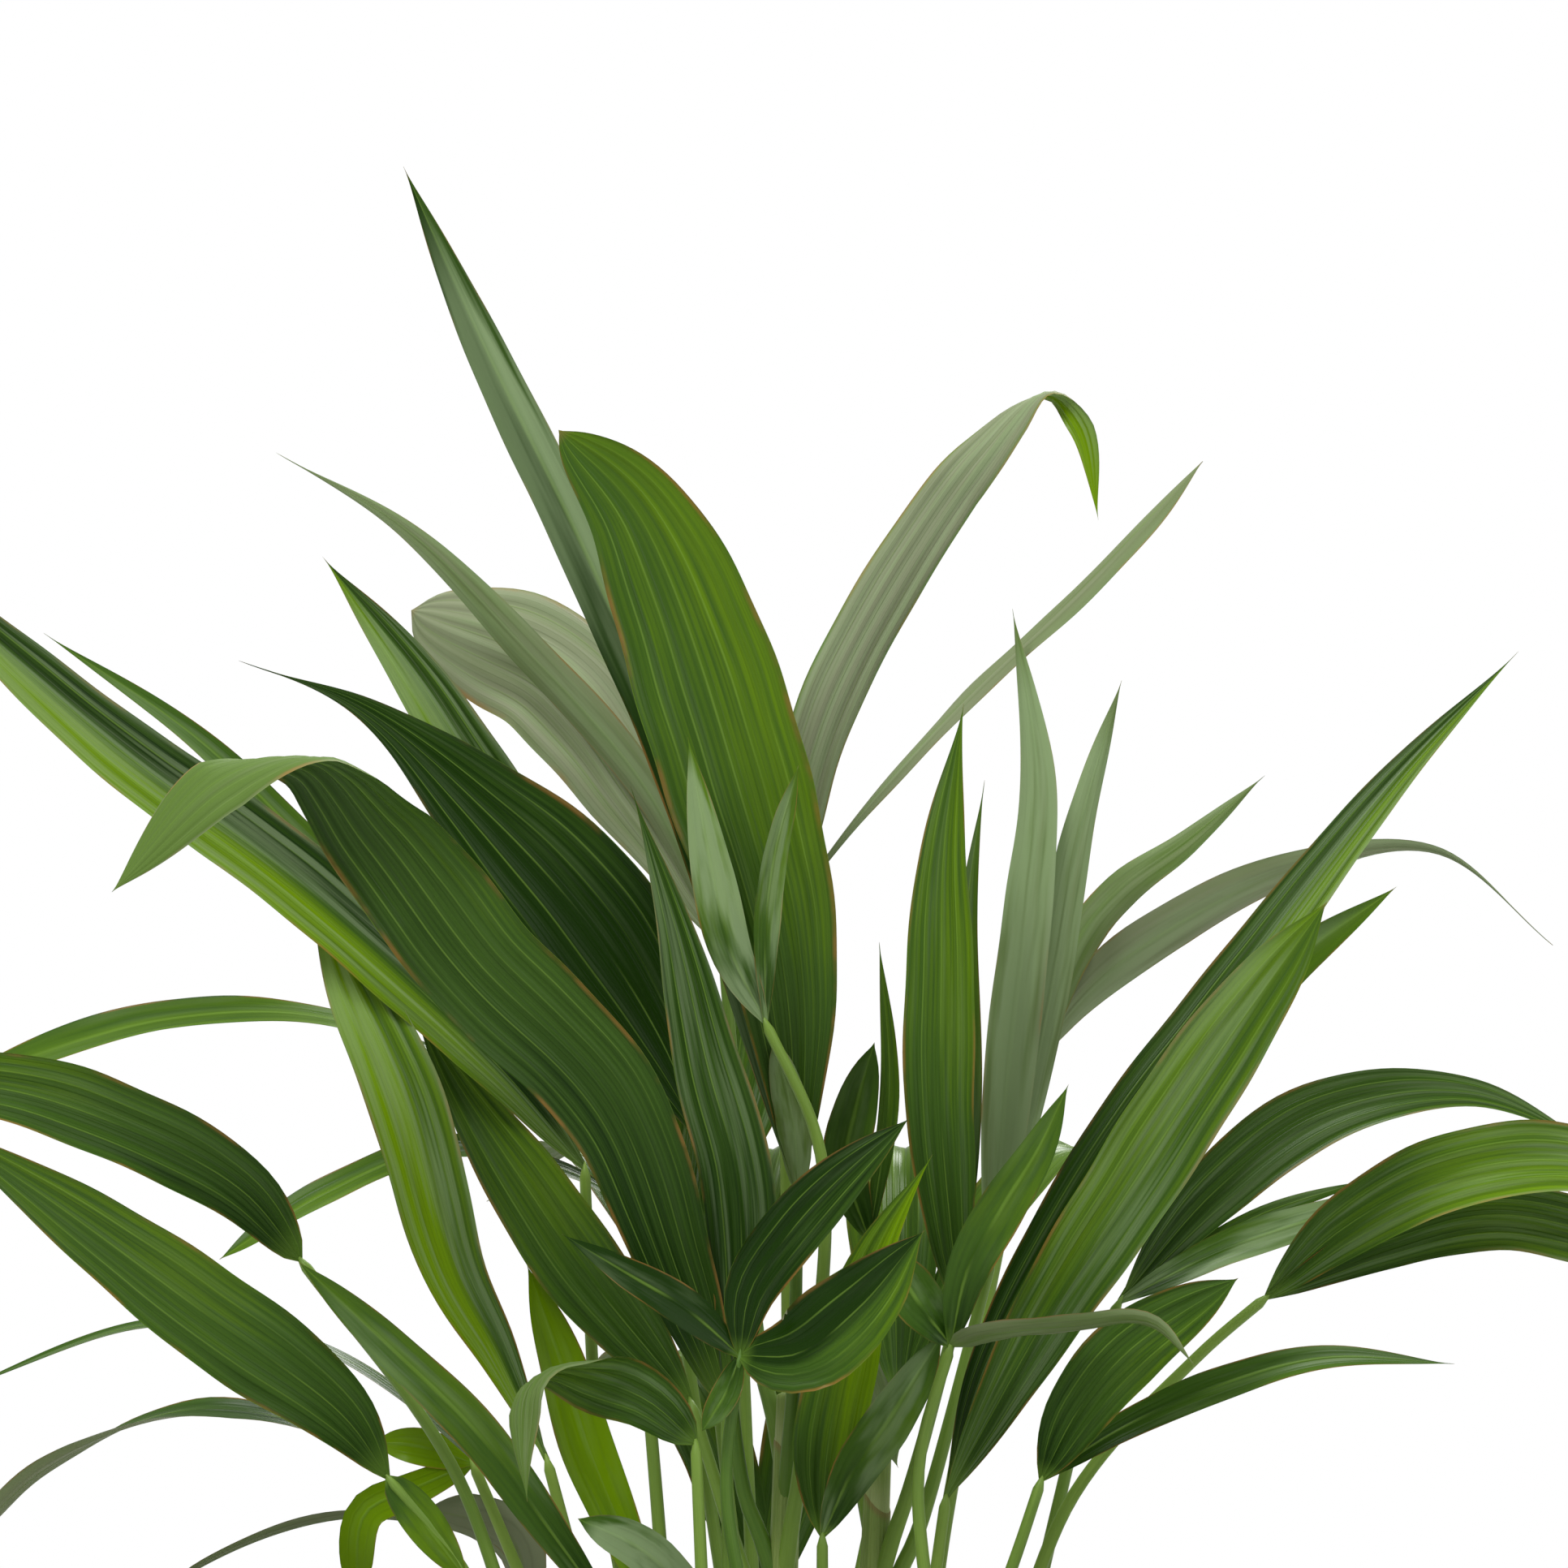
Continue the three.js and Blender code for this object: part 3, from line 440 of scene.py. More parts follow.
class PalmSettings(bpy.types.PropertyGroup):
    """Sizes and counts of the palm's fine shape"""

    slim_blade: length("Slim blade", "Greatest width of a blade with a single rib", 12.2)
    rib_spacing: length("Rib spacing", "Distance between the main ribs of a blade", 4.8)
    pleat_depth: bpy.props.FloatProperty(
        name="Pleat depth", description="Depth of a pleat as a share of the rib spacing", default=0.1,
        subtype="FACTOR")
    blade_thickness: length("Blade thickness", "Thickness of a blade along its middle", 0.42)
    blade_step: length("Blade step", "Length of one row of faces along a blade", 2.4)
    stalk_step: length("Stalk step", "Length of one row of faces along a stalk", 3.5)
    compost_relief: length("Compost relief", "Height of the lumps in the compost", 2.2)
    crumbs: bpy.props.IntProperty(
        name="Crumbs", description="Number of loose crumbs on the compost", default=420)
    pot_facets: bpy.props.IntProperty(
        name="Pot facets", description="Number of faces round the pot", default=128)


class Draw:
    """Repeatable draws between two values"""

    def __init__(self, seed):
        self.value = seed

    def __call__(self, low, high):
        self.value = (self.value * DRAW_FACTOR) % DRAW_RANGE
        return low + ((high - low) * self.value) / DRAW_RANGE


class Line:
    """A centripetal spline through a few points, measured by its own length"""

    def __init__(self, points, cuts=40):
        p = [np.array(point, float) for point in points]
        p = [2 * p[0] - p[1], *p, 2 * p[-1] - p[-2]]
        rows = []
        for a, b, c, d in zip(p, p[1:], p[2:], p[3:]):
            gap = [max(np.linalg.norm(q - o), 1e-4) ** 0.5 for o, q in ((a, b), (b, c), (c, d))]
            start = ((b - a) / gap[0] - (c - a) / (gap[0] + gap[1]) + (c - b) / gap[1]) * gap[1]
            end = ((c - b) / gap[1] - (d - b) / (gap[1] + gap[2]) + (d - c) / gap[2]) * gap[1]
            t = np.linspace(0, 1, cuts, endpoint=False)[:, None]
            square = -3 * b + 3 * c - 2 * start - end
            cube = 2 * b - 2 * c + start + end
            rows.append(b + start * t + square * t**2 + cube * t**3)
        self.points = np.vstack([*rows, p[-2][None, :]])
        steps = np.linalg.norm(np.diff(self.points, axis=0), axis=1)
        self.shares = np.concatenate([[0], np.cumsum(steps)])
        self.length = self.shares[-1]
        self.shares /= self.length

    def at(self, share):
        return np.stack([np.interp(share, self.shares, self.points[:, k]) for k in range(3)], axis=-1)

    def tangent(self, share, step=4e-3):
        away = self.at(np.minimum(share + step, 1)) - self.at(np.maximum(share - step, 0))
        return unit(away)

    def tube(self, share, turn, reach):
        """Rings of points round the line, one for each share, each closed by its first point"""
        tangent = self.tangent(share)
        upper = -unit(np.cross(np.array([1.0, 0, 0]), tangent))
        side = unit(np.cross(tangent, upper))
        rings = self.at(share)[:, None, :] + side[:, None, :] * (reach * np.cos(turn))[:, :, None]
        rings = rings + upper[:, None, :] * (reach * np.sin(turn))[:, :, None]
        rings[:, -1] = rings[:, 0]
        return rings


def unit(vectors):
    return vectors / np.linalg.norm(vectors, axis=-1, keepdims=True)


def turned(vectors, axis, angle):
    """Vectors square to an axis, turned about it"""
    return vectors * np.cos(angle)[:, None] + np.cross(axis, vectors) * np.sin(angle)[:, None]


def shoot_line(name):
    foot, top = SHOOTS[name]
    foot = np.array([*foot, COMPOST_TOP + CLEAR - SHOOT_CUT], float)
    top = np.array(top, float)
    return Line([foot, (foot + top) / 2 + np.array([0, 0, SHOOT_BOW]), top])


def shoot_radius(share):
    flare = 1 + (SHOOT_FLARE - 1) * (1 - share) ** 6
    return (SHOOT_FOOT_RADIUS + (SHOOT_TOP_RADIUS - SHOOT_FOOT_RADIUS) * share) * flare


def stalk_line(plan):
    """A stalk grows out of its shoot, on the side that looks at the fork, and rises along it."""
    shoot = shoot_line(plan["shoot"])
    share = float(np.interp(plan["leaves"], shoot.points[:, 2], shoot.shares))
    axis = shoot.at(share)
    rise = shoot.tangent(share)
    way = [np.array(point, float) for point in (*plan["bend"], plan["fork"])]
    out = way[0] - axis
    out = unit(out - rise * out.dot(rise))
    side = math.radians(plan["side"])
    out = out * math.cos(side) + np.cross(rise, out) * math.sin(side)
    start = axis + out * (shoot_radius(share) + STALK_FOOT_RADIUS + CLEAR)
    clear = start + rise * STALK_RISE + out * STALK_RISE * STALK_SPREAD
    root = shoot.at(max(share - STALK_ROOT / shoot.length, 0))
    return Line([root, start, clear, *way])


def nearest_shoot(x, y):
    return min(SHOOTS, key=lambda name: math.hypot(SHOOTS[name][1][0] - x, SHOOTS[name][1][1] - y))


def tier_fronds(tier, draw):
    """The fronds of one tier stand round the clump; each has two lobes that arch outwards side by side."""
    fronds = []
    for i in range(tier["count"]):
        bearing = tier["from"] + tier["sweep"] * i / tier["count"] + draw(-TIER_SWAY, TIER_SWAY)
        reach = tier["out"] * draw(*TIER_REACH)
        lift = (1 if i % 2 == 0 else -1) * tier["stagger"] + draw(-TIER_LIFT, TIER_LIFT)

        def at(angle, out, up):
            return (out * math.cos(math.radians(angle)), out * math.sin(math.radians(angle)), up + lift)

        fork = at(bearing, tier["fork_out"], tier["fork_up"])
        blades = []
        for hand in (1, -1):
            angle = bearing + hand * TIER_LOBE_ANGLE
            middle_up = (tier["fork_up"] + tier["up"]) / 2 + tier["sag"]
            tip_up = tier["up"] - (0 if hand > 0 else TIER_LOBE_LIFT)
            middle = at(angle, (tier["fork_out"] + reach) / 2, middle_up)
            tip = at(angle + hand * TIER_TIP_ANGLE, reach, tip_up)
            lobe = blade([middle, tip], tier["width"], [0], TIER_SWELL, TIER_BODY, facing=(0, 0, 1))
            blades.append(lobe)
        leaves = tier["leaves"] + draw(-TIER_LEAVES, TIER_LEAVES)
        shoot = nearest_shoot(fork[0], fork[1])
        fronds.append(frond(f"{tier['name']}_{i + 1}", shoot, leaves, fork, blades))
    return fronds


def all_fronds():
    draw = Draw(SEED)
    tiered = [plan for tier in TIERS for plan in tier_fronds(tier, draw)]
    return [*FRONDS, *tiered]


def swelling(share, spec):
    """Share of the full width at a share of the length: nothing at both ends and about 1 at the swell"""
    swell, body = spec["swell"], spec["body"]
    rise = (share / swell) ** body
    fall = ((1 - share) / (1 - swell)) ** (body * (1 - swell) / swell)
    return rise * fall * (1 - np.exp((share - 1) / spec["drawn_out"]))


class Weave:
    """One mesh of closed skins, each woven from a grid: columns run round a section and rows along it."""

    def __init__(self):
        self.mesh = bmesh.new()
        self.uv = self.mesh.loops.layers.uv.new("SkinUV")
        self.values = {name: self.mesh.verts.layers.float.new(name) for name in ("across", "tone", "bloom")}

    def skin(self, points, uvs, material=0, crease=(), **values):
        """points is rows by columns by 3, in millimetres; its first and last columns meet, and its first and
        last rows are single points. uvs gives the map of a corner. values fill the mesh's own values."""
        rows, columns = points.shape[0] - 1, points.shape[1] - 1
        points = points * MM
        values = {name: np.broadcast_to(value, points.shape[:2]) for name, value in values.items()}
        made = bmesh.ops.create_grid(self.mesh, x_segments=columns, y_segments=rows, size=1.0)["verts"]
        if len(made) != (rows + 1) * (columns + 1):
            raise RuntimeError("the grid has other counts than its points")
        place = {}
        for vert in made:
            place[vert] = (round((vert.co.y + 1) / 2 * rows), round((vert.co.x + 1) / 2 * columns))
        for face in {face for vert in made for face in vert.link_faces}:
            face.smooth = True
            face.material_index = material
            first = min(place[vert][1] for vert in face.verts)
            for loop in face.loops:
                row, column = place[loop.vert]
                loop[self.uv].uv = uvs(first, column, row)
        for vert in made:
            row, column = place[vert]
            vert.co = points[row, column]
            for name, value in values.items():
                vert[self.values[name]] = value[row, column]
            if column not in crease:
                continue
            for edge in vert.link_edges:
                if place[edge.other_vert(vert)][1] == column:
                    edge.smooth = False
        bmesh.ops.remove_doubles(self.mesh, verts=made, dist=1e-7)
        left = {face for vert in made if vert.is_valid for face in vert.link_faces}
        bmesh.ops.recalc_face_normals(self.mesh, faces=list(left))

    def piece(self, name, materials, nodes):
        data = bpy.data.meshes.new(name)
        self.mesh.to_mesh(data)
        self.mesh.free()
        obj = bpy.data.objects.new(name, data)
        bpy.context.scene.collection.objects.link(obj)
        for material in materials:
            data.materials.append(material)
        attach(obj, "root")
        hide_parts(*nodes)


def poled(rings, start, end):
    """Rings of points with a single point before the first and after the last"""
    columns = rings.shape[1]
    first = np.repeat(np.array(start, float)[None, None, :], columns, axis=1)
    last = np.repeat(np.array(end, float)[None, None, :], columns, axis=1)
    return np.concatenate([first, rings, last])


def add_blade(weave, fork, spec, tones_and_shade, bloom, settings, draw):
    """A pleated blade: its ribs run side by side from foot to tip, and its margins ripple a little."""
    line = Line([fork, *spec["points"]])
    width = spec["width"]
    ribs, lanes = 1, SLIM_LANES
    if width * MM > settings.slim_blade:
        ribs = lanes = max(2, round(width * MM / (2 * settings.rib_spacing)))
    columns = COLUMNS_PER_RIB * ribs
    rows = max(FEWEST_BLADE_ROWS, round(line.length * MM / settings.blade_step))
    # The rows crowd together towards the tip, where the width changes fastest
    share = 1 - (1 - np.linspace(0, LAST_ROW, rows)) ** CROWDING
    centre = line.at(share)
    tangent = line.tangent(share)
    side = unit(np.cross(tangent, np.array(spec["facing"], float)))
    upper = unit(np.cross(side, tangent))
    turns = np.array(spec["turn"], float)
    angle = np.radians(np.interp(share, np.linspace(0, 1, len(turns)), turns))
    side = turned(side, tangent, angle)
    upper = turned(upper, tangent, angle)

    half = np.maximum(width * swelling(share, spec), BLADE_FOOT_WIDTH * (1 - share) ** 0.5) / 2
    across = np.linspace(-1, 1, columns + 1)
    grown = np.clip(half / (width / 2), 0, 1)
    pleat = settings.pleat_depth * settings.rib_spacing / MM * grown * min(1, width / FULL_PLEAT_WIDTH) ** 2
    waves = []
    for _ in range(2):
        slow = np.sin(share * draw(*SLOW_WAVE) + draw(*PHASE))
        waves.append(slow + 0.5 * np.sin(share * draw(*QUICK_WAVE) + draw(*PHASE)))
    fold = BLADE_FOLD * (1 + BLADE_FOLD_SWAY * np.sin(share * BLADE_FOLD_WAVE + draw(*PHASE)))
    rise = np.sqrt(across**2 + MIDRIB_ROUNDING)[None, :] * (half * fold)[:, None]
    for hand, wave in zip((-1, 1), waves):
        rise = rise + np.clip(across * hand, 0, 1)[None, :] ** 2 * (half * wave)[:, None] * MARGIN_WAVE
    zigzag = np.abs(((across * ribs) % 1) - 0.5) * 4 - 1
    rise = rise + zigzag[None, :] * pleat[:, None]
    body = settings.blade_thickness / MM * np.minimum(1, LEAST_BODY + grown)
    thick = body[:, None] * (1 - MARGIN_THINNING * np.abs(across)[None, :] ** 3)
    thick[:, [0, -1]] = 0
    ripple = 1 + MARGIN_RIPPLE * np.sin(share * line.length / 4 + draw(*PHASE))

    def skin_at(picked, sign):
        offset = rise[:, picked] + sign * thick[:, picked] / 2
        reach = across[picked][None, :] * (half * ripple)[:, None]
        level = centre[:, None, :] + side[:, None, :] * reach[:, :, None]
        return level + upper[:, None, :] * offset[:, :, None]

    forward = np.arange(columns + 1)
    backward = forward[::-1][1:]
    rings = np.concatenate([skin_at(forward, 1), skin_at(backward, -1)], axis=1)
    points = poled(rings, centre[0] - tangent[0] * BLADE_FOOT_OVERLAP, line.at(1.0))
    across_round = np.concatenate([across, across[::-1][1:]])
    shares = np.concatenate([[0], share, [1]])
    # The tone passes from one half of the blade to the other. A darker half is partly painted shade, where
    # that half is turned from the lamps.
    right = np.clip(across_round * 2 + 0.5, 0, 1)
    tone = tones_and_shade[0] + (tones_and_shade[1] - tones_and_shade[0]) * right
    if len(tones_and_shade) > 2:
        tone[columns + 1:-1] = tones_and_shade[2]
    # Share of painted sheen, the same on both halves or passing from one half to the other
    halves = bloom if isinstance(bloom, tuple) else (bloom, bloom)
    painted_sheen = halves[0] + (halves[1] - halves[0]) * right

    def uvs(first, column, row):
        under = 0 if first < columns else UNDER
        return (across_round[column] * lanes + under, shares[row])

    weave.skin(points, uvs, crease=(0, columns, 2 * columns), across=across_round, tone=tone, bloom=painted_sheen)


def add_stalk(weave, line, settings, tone):
    """A round stalk with a shallow channel along it, which widens into its shoot and ends in a point"""
    rows = max(FEWEST_STALK_ROWS, round(line.length * MM / settings.stalk_step))
    share = np.linspace(0, 1, rows)
    radius = STALK_FOOT_RADIUS + (STALK_FORK_RADIUS - STALK_FOOT_RADIUS) * share
    radius = radius * (1 + STALK_FLARE * np.exp(-share * line.length / STALK_FLARE_LENGTH))
    radius = radius * np.clip((1 - share) * line.length / STALK_POINT, STALK_TIP, 1) ** 0.5
    turn = np.linspace(0, TURN, STALK_COLUMNS + 1)
    channel = 1 - STALK_CHANNEL * np.clip(np.sin(turn), 0, 1) ** 4
    rings = line.tube(share, turn, radius[:, None] * channel[None, :])
    shares = np.concatenate([[0], share, [1]])

    def uvs(first, column, row):
        return (column / STALK_COLUMNS, shares[row] * line.length / 10)

    weave.skin(poled(rings, line.at(0.0), line.at(1.0)), uvs, material=1, tone=tone)


def add_shoot(weave, name):
    """Sheaths wrap the shoot one inside the other: each widens to its slanting mouth and ends there."""
    line = shoot_line(name)
    share = np.linspace(0, 1, SHOOT_ROWS)
    share = share[line.at(share)[:, 2] > COMPOST_TOP - 1]
    turn = np.linspace(0, TURN, SHOOT_COLUMNS + 1)
    slant = SHEATH_SLANT * np.cos(turn + SHOOTS[name][0][0])
    mouth = share[:, None] * SHEATHS + SHEATH_START + slant[None, :]
    step = SHEATH_STEP * (mouth % 1) ** 1.5 - SHEATH_SINK
    ribs = SHEATH_RIB * np.cos(turn * SHEATH_RIBS)[None, :]
    rings = line.tube(share, turn, shoot_radius(share)[:, None] * (1 + step + ribs))
    tip = line.at(1.0) + line.tangent(1.0) * SHOOT_TIP
    phase = np.concatenate([mouth[:1], mouth, mouth[-1:]])

    def uvs(first, column, row):
        return (column / SHOOT_COLUMNS, phase[row, column])

    weave.skin(poled(rings, line.at(share[0]), tip), uvs)


def arc(centre, radius, start, end, count=5):
    """Points of a corner's rounding, as radius and height"""
    angles = np.radians(np.linspace(start, end, count))
    return [(centre[0] + radius * math.cos(a), centre[1] + radius * math.sin(a)) for a in angles]


def between(start, end, count):
    shares = np.linspace(0, 1, count)
    return [(start[0] + (end[0] - start[0]) * s, start[1] + (end[1] - start[1]) * s) for s in shares]


def add_lathe(weave, profile, facets, shift):
    """A closed turned body. Its profile starts and ends on the axis, and shift moves each point a little."""
    turn = np.linspace(0, TURN, facets + 1)
    rows = []
    for radius, height in profile:
        ring = np.stack([radius * np.cos(turn), radius * np.sin(turn), np.full(facets + 1, height)], axis=-1)
        if radius > 0:
            for column in range(facets):
                ring[column] = shift(ring[column], radius, height)
        ring[-1] = ring[0]
        rows.append(ring)

    def uvs(first, column, row):
        return (column / facets, row / (len(profile) - 1))

    weave.skin(np.stack(rows), uvs)


def pot_profile():
    """Radius and height, from the middle of the pot's underside over its rim to its floor"""
    neck = POT_HEIGHT - POT_RIM_HEIGHT
    inner = POT_RIM_RADIUS - POT_WALL - 1
    return [
        (0, 0), *between((12, 0), (POT_FOOT_RADIUS - 3, 0), 4),
        *arc((POT_FOOT_RADIUS - 1.2, 1.8), 1.8, -90, -8),
        *between((POT_FOOT_RADIUS + 1, 3), (POT_NECK_RADIUS - 0.4, neck - 2), 14),
        (POT_NECK_RADIUS + 0.3, neck - 0.6), *arc((POT_RIM_RADIUS - 2.4, neck + 2.4), 2.2, -88, -2),
        *between((POT_RIM_RADIUS - 0.1, neck + 4), (POT_RIM_RADIUS - 0.1, POT_HEIGHT - 4), 5),
        *arc((POT_RIM_RADIUS - 2.4, POT_HEIGHT - 2.4), 2.3, 0, 90),
        *arc((inner + 2, POT_HEIGHT - 2.2), 2.1, 90, 180),
        *between((inner - 0.3, POT_HEIGHT - 6), (POT_NECK_RADIUS - POT_WALL, neck), 5),
        *between((POT_NECK_RADIUS - POT_WALL - 1, neck - 8), (POT_FOOT_RADIUS - POT_WALL + 1, POT_FLOOR), 5),
        (0, POT_FLOOR),
    ]


def compost_profile():
    """Radius and height, from the middle of the compost's underside to the middle of its top"""
    neck = POT_HEIGHT - POT_RIM_HEIGHT
    inner = POT_NECK_RADIUS - POT_WALL - 2 * CLEAR
    top = inner + 0.8
    return [
        (0, POT_FLOOR + CLEAR), (POT_FOOT_RADIUS - POT_WALL + 0.4, POT_FLOOR + CLEAR), (inner, neck - 1),
        (top, COMPOST_TOP - 3), *between((top - 0.3, COMPOST_TOP - 1), (1.5, COMPOST_TOP), 40),
        (0, COMPOST_TOP),
    ]


class Socket:
    """One output in a node tree. Arithmetic on it adds maths nodes."""

    def __init__(self, shader, output):
        self.shader = shader
        self.output = output

    def maths(self, operation, *others):
        return self.shader.node("ShaderNodeMath", {"operation": operation}, [self, *others])[0]

    def __add__(self, other):
        return self.maths("ADD", other)

    __radd__ = __add__

    def __mul__(self, other):
        return self.maths("MULTIPLY", other)

    def __sub__(self, other):
        return self.maths("SUBTRACT", other)

    def __rsub__(self, other):
        return (self * -1) + other

    def __abs__(self):
        return self.maths("ABSOLUTE")

    def __gt__(self, other):
        return self.maths("GREATER_THAN", other)

    def fract(self):
        return self.maths("FRACT")

    def held(self):
        return self.maths("MAXIMUM", 0).maths("MINIMUM", 1)

    def ramp(self, low, high):
        """0 up to low and 1 from high, with a smooth rise between"""
        return self.shader.node("ShaderNodeMapRange", {"interpolation_type": "SMOOTHSTEP"},
                                {"Value": self, "From Min": low, "From Max": high})[0]

    def crest(self):
        """1 at each whole number and 0 half way between"""
        return abs(self.fract() - 0.5) * 2


class Shader:
    """A material on one Principled shader, whose constants are set on its own sockets"""

    def __init__(self, name, constants):
        self.material = bpy.data.materials.new(name)
        self.material.use_nodes = True
        self.tree = self.material.node_tree
        self.surface = next(node for node in self.tree.nodes if node.type == "BSDF_PRINCIPLED")
        for key, value in constants.items():
            self.surface.inputs[key].default_value = value

    def node(self, kind, settings, inputs):
        node = self.tree.nodes.new(kind)
        for key, value in settings.items():
            setattr(node, key, value)
        pairs = inputs.items() if isinstance(inputs, dict) else enumerate(inputs)
        for key, value in pairs:
            if isinstance(value, Socket):
                self.tree.links.new(value.output, node.inputs[key])
            else:
                node.inputs[key].default_value = value
        return [Socket(self, output) for output in node.outputs]

    def mix(self, factor, first, second):
        """Colour from first at factor 0 to second at 1. The inputs of the colour mix are its 7th and 8th."""
        values = [value if isinstance(value, Socket) else (*value, 1.0) for value in (first, second)]
        return self.node("ShaderNodeMix", {"data_type": "RGBA"}, {0: factor, 6: values[0], 7: values[1]})[2]

    def value(self, name):
        return self.node("ShaderNodeAttribute", {"attribute_name": name}, {})[2]

    def split(self, vector):
        return self.node("ShaderNodeSeparateXYZ", {}, [vector])

    def skin_map(self):
        return self.split(self.node("ShaderNodeUVMap", {"uv_map": "SkinUV"}, {})[0])[:2]

    def vector(self, *parts):
        return self.node("ShaderNodeCombineXYZ", {}, parts)[0]

    def place(self):
        return self.node("ShaderNodeTexCoord", {}, {})[3]

    def noise(self, vector, scale, detail=3.0, roughness=0.55):
        inputs = {"Vector": vector, "Scale": scale, "Detail": detail, "Roughness": roughness}
        return self.node("ShaderNodeTexNoise", {}, inputs)[0]

    def bump(self, height, strength, distance):
        inputs = {"Strength": strength, "Distance": distance, "Height": height}
        return self.node("ShaderNodeBump", {}, inputs)[0]

    def drive(self, **inputs):
        for key, value in inputs.items():
            self.tree.links.new(value.output, self.surface.inputs[key.replace("_", " ")])
        return self.material


def leaf_material():
    """Satin upper side in deep to lime green, with painted shade towards its foot, matt grey-green underside,
    pale ribs, brown margins and patches of painted sheen
    """
    s = Shader("leaf_blade", {"Specular IOR Level": 0.08})
    u, v = s.skin_map()
    across = abs(s.value("across"))
    tone = s.value("tone")
    under = u > UNDER / 2
    place = s.place()
    blotch = s.noise(place, 26.0, 2.0)
    streak = s.noise(s.vector(u * 1.3, v * 1.2, 0.0), 1.6, 4.0)
    fine = s.noise(s.vector(u * 3.5, v * 1.5, 0.0), 1.5, 2.0)
    calm = (1 - v).ramp(0.02, 0.3)
    strong = s.noise(s.vector(u * 0.7, v * 0.8, 5.0), 2.6, 1.0).ramp(0.36, 0.56)
    # Painted shade: the upper side darkens towards the blade's foot, where it lies in the shadow of the
    # crown.
    painted_foot_shade = (1 - v).ramp(0.45, 1.0)
    uneven = (streak - 0.5) * 1.1 + (fine - 0.5) * calm + (blotch - 0.5) * 0.5
    shade = tone - painted_foot_shade * (1 - under) * 0.65 + uneven
    green = s.mix((shade * -1.2).held(), s.mix(shade.held(), PLAIN_GREEN, LIME_GREEN), DEEP_GREEN)
    colour = s.mix(under, green, s.mix((shade * 0.9 + 0.5).held(), UNDERSIDE_GREY, UNDERSIDE_GREEN))
    rib = u.crest().ramp(0.87, 0.97)
    small = (u * 4).crest().ramp(0.6, 1.0)
    colour = s.mix(small * calm * 0.2 * fine, colour, LINE_GREEN)
    colour = s.mix(rib * (0.42 - under * 0.2) * strong, colour, RIB_GREEN)
    margin = across.ramp(0.9, 0.97) * s.noise(place, 60.0, 3.0).ramp(0.42, 0.65)
    colour = s.mix(margin * 0.65, colour, MARGIN_BROWN)
    tip = v.ramp(0.982, 1.0) * s.noise(place, 40.0, 2.0).ramp(0.3, 0.6)
    colour = s.mix(tip * 0.5, colour, TIP_BROWN)
    colour = s.mix((1 - v).ramp(0.92, 1.0) * 0.5, colour, FOOT_GREEN)
    # Painted sheen: whitish-green patches stand in for the lamps' glossy reflection on the blade, fading out
    # at the tip.
    bloom = s.value("bloom")
    sheen_patches = s.noise(s.vector(u * 1.1, v * 0.9, 9.0), 2.0, 3.0) + bloom * 0.2
    sheen = sheen_patches.ramp(0.5, 0.72) * bloom * (1 - v).ramp(0.02, 0.15)
    colour = s.mix(sheen * 0.75, colour, SHEEN_GREEN)
    rough = 0.28 + under * 0.27 + (blotch - 0.5) * 0.2 + (fine - 0.5) * calm * 0.3
    height = (rib * 0.7 + small * 0.25 + fine * 0.3) * calm
    return s.drive(Base_Color=colour, Roughness=rough, Normal=s.bump(height, 0.35, 0.0004))


def stalk_material():
    """Fresh yellow-green stalk with fine lengthwise lines"""
    s = Shader("leaf_stalk", {"Specular IOR Level": 0.3})
    u, v = s.skin_map()
    tone = s.value("tone")
    lines = s.noise(s.vector(u * 14, v * 0.5, 0.0), 1.5, 3.0)
    blotch = s.noise(s.place(), 30.0, 2.0)
    colour = s.mix((lines * 0.6 + blotch * 0.5 + tone * 0.4).held(), STALK_GREEN, STALK_YELLOW)
    return s.drive(Base_Color=colour, Roughness=0.36 + blotch * 0.2, Normal=s.bump(lines, 0.3, 0.0003))


def sheath_material():
    """Ribbed green sheaths, paler at their feet, with thin brown papery mouths and some soil low down"""
    s = Shader("leaf_sheath", {"Specular IOR Level": 0.3})
    u, v = s.skin_map()
    place = s.place()
    inside = v.fract()
    lines = (u * 24).crest()
    streak = s.noise(s.vector(u * 30, v * 1.2, 0.0), 1.2, 3.0)
    blotch = s.noise(place, 45.0, 3.0)
    colour = s.mix((streak * 0.9 + blotch * 0.4 - 0.2).held(), SHEATH_GREEN, SHEATH_YELLOW)
    colour = s.mix((1 - inside).ramp(0.75, 1.0) * 0.5, colour, SHEATH_PALE)
    colour = s.mix(inside.ramp(0.93, 0.99) * (blotch * 0.9 + 0.2), colour, SHEATH_BROWN)
    low = s.split(place)[2].ramp(0.118, 0.1)
    colour = s.mix(low * 0.6, colour, SOIL_BROWN)
    normal = s.bump(lines + streak, 0.35, 0.0004)
    return s.drive(Base_Color=colour, Roughness=0.42 + blotch * 0.25, Normal=normal)


def clay_material():
    """Fired clay with fine grain and a pale bloom under the rim and at the foot"""
    s = Shader("fired_clay", {"Specular IOR Level": 0.3})
    place = s.place()
    height = s.split(place)[2]
    cloud = s.noise(place, 14.0, 5.0, 0.6)
    grain = s.noise(place, 420.0, 4.0, 0.7)
    colour = s.mix(cloud.ramp(0.3, 0.7), CLAY_RED, CLAY_ORANGE)
    colour = s.mix(grain.ramp(0.62, 0.8) * 0.5, colour, CLAY_GRAIN)
    bloom = s.noise(place, 34.0, 6.0, 0.7).ramp(0.5, 0.72)
    band = height.ramp(0.03, 0.0) + height.ramp(0.07, 0.088) * height.ramp(0.1, 0.086)
    colour = s.mix((bloom * band).held() * 0.5, colour, CLAY_BLOOM)
    normal = s.bump(grain + cloud * 0.5, 0.45, 0.0005)
    return s.drive(Base_Color=colour, Roughness=0.78 + cloud * 0.15, Normal=normal)


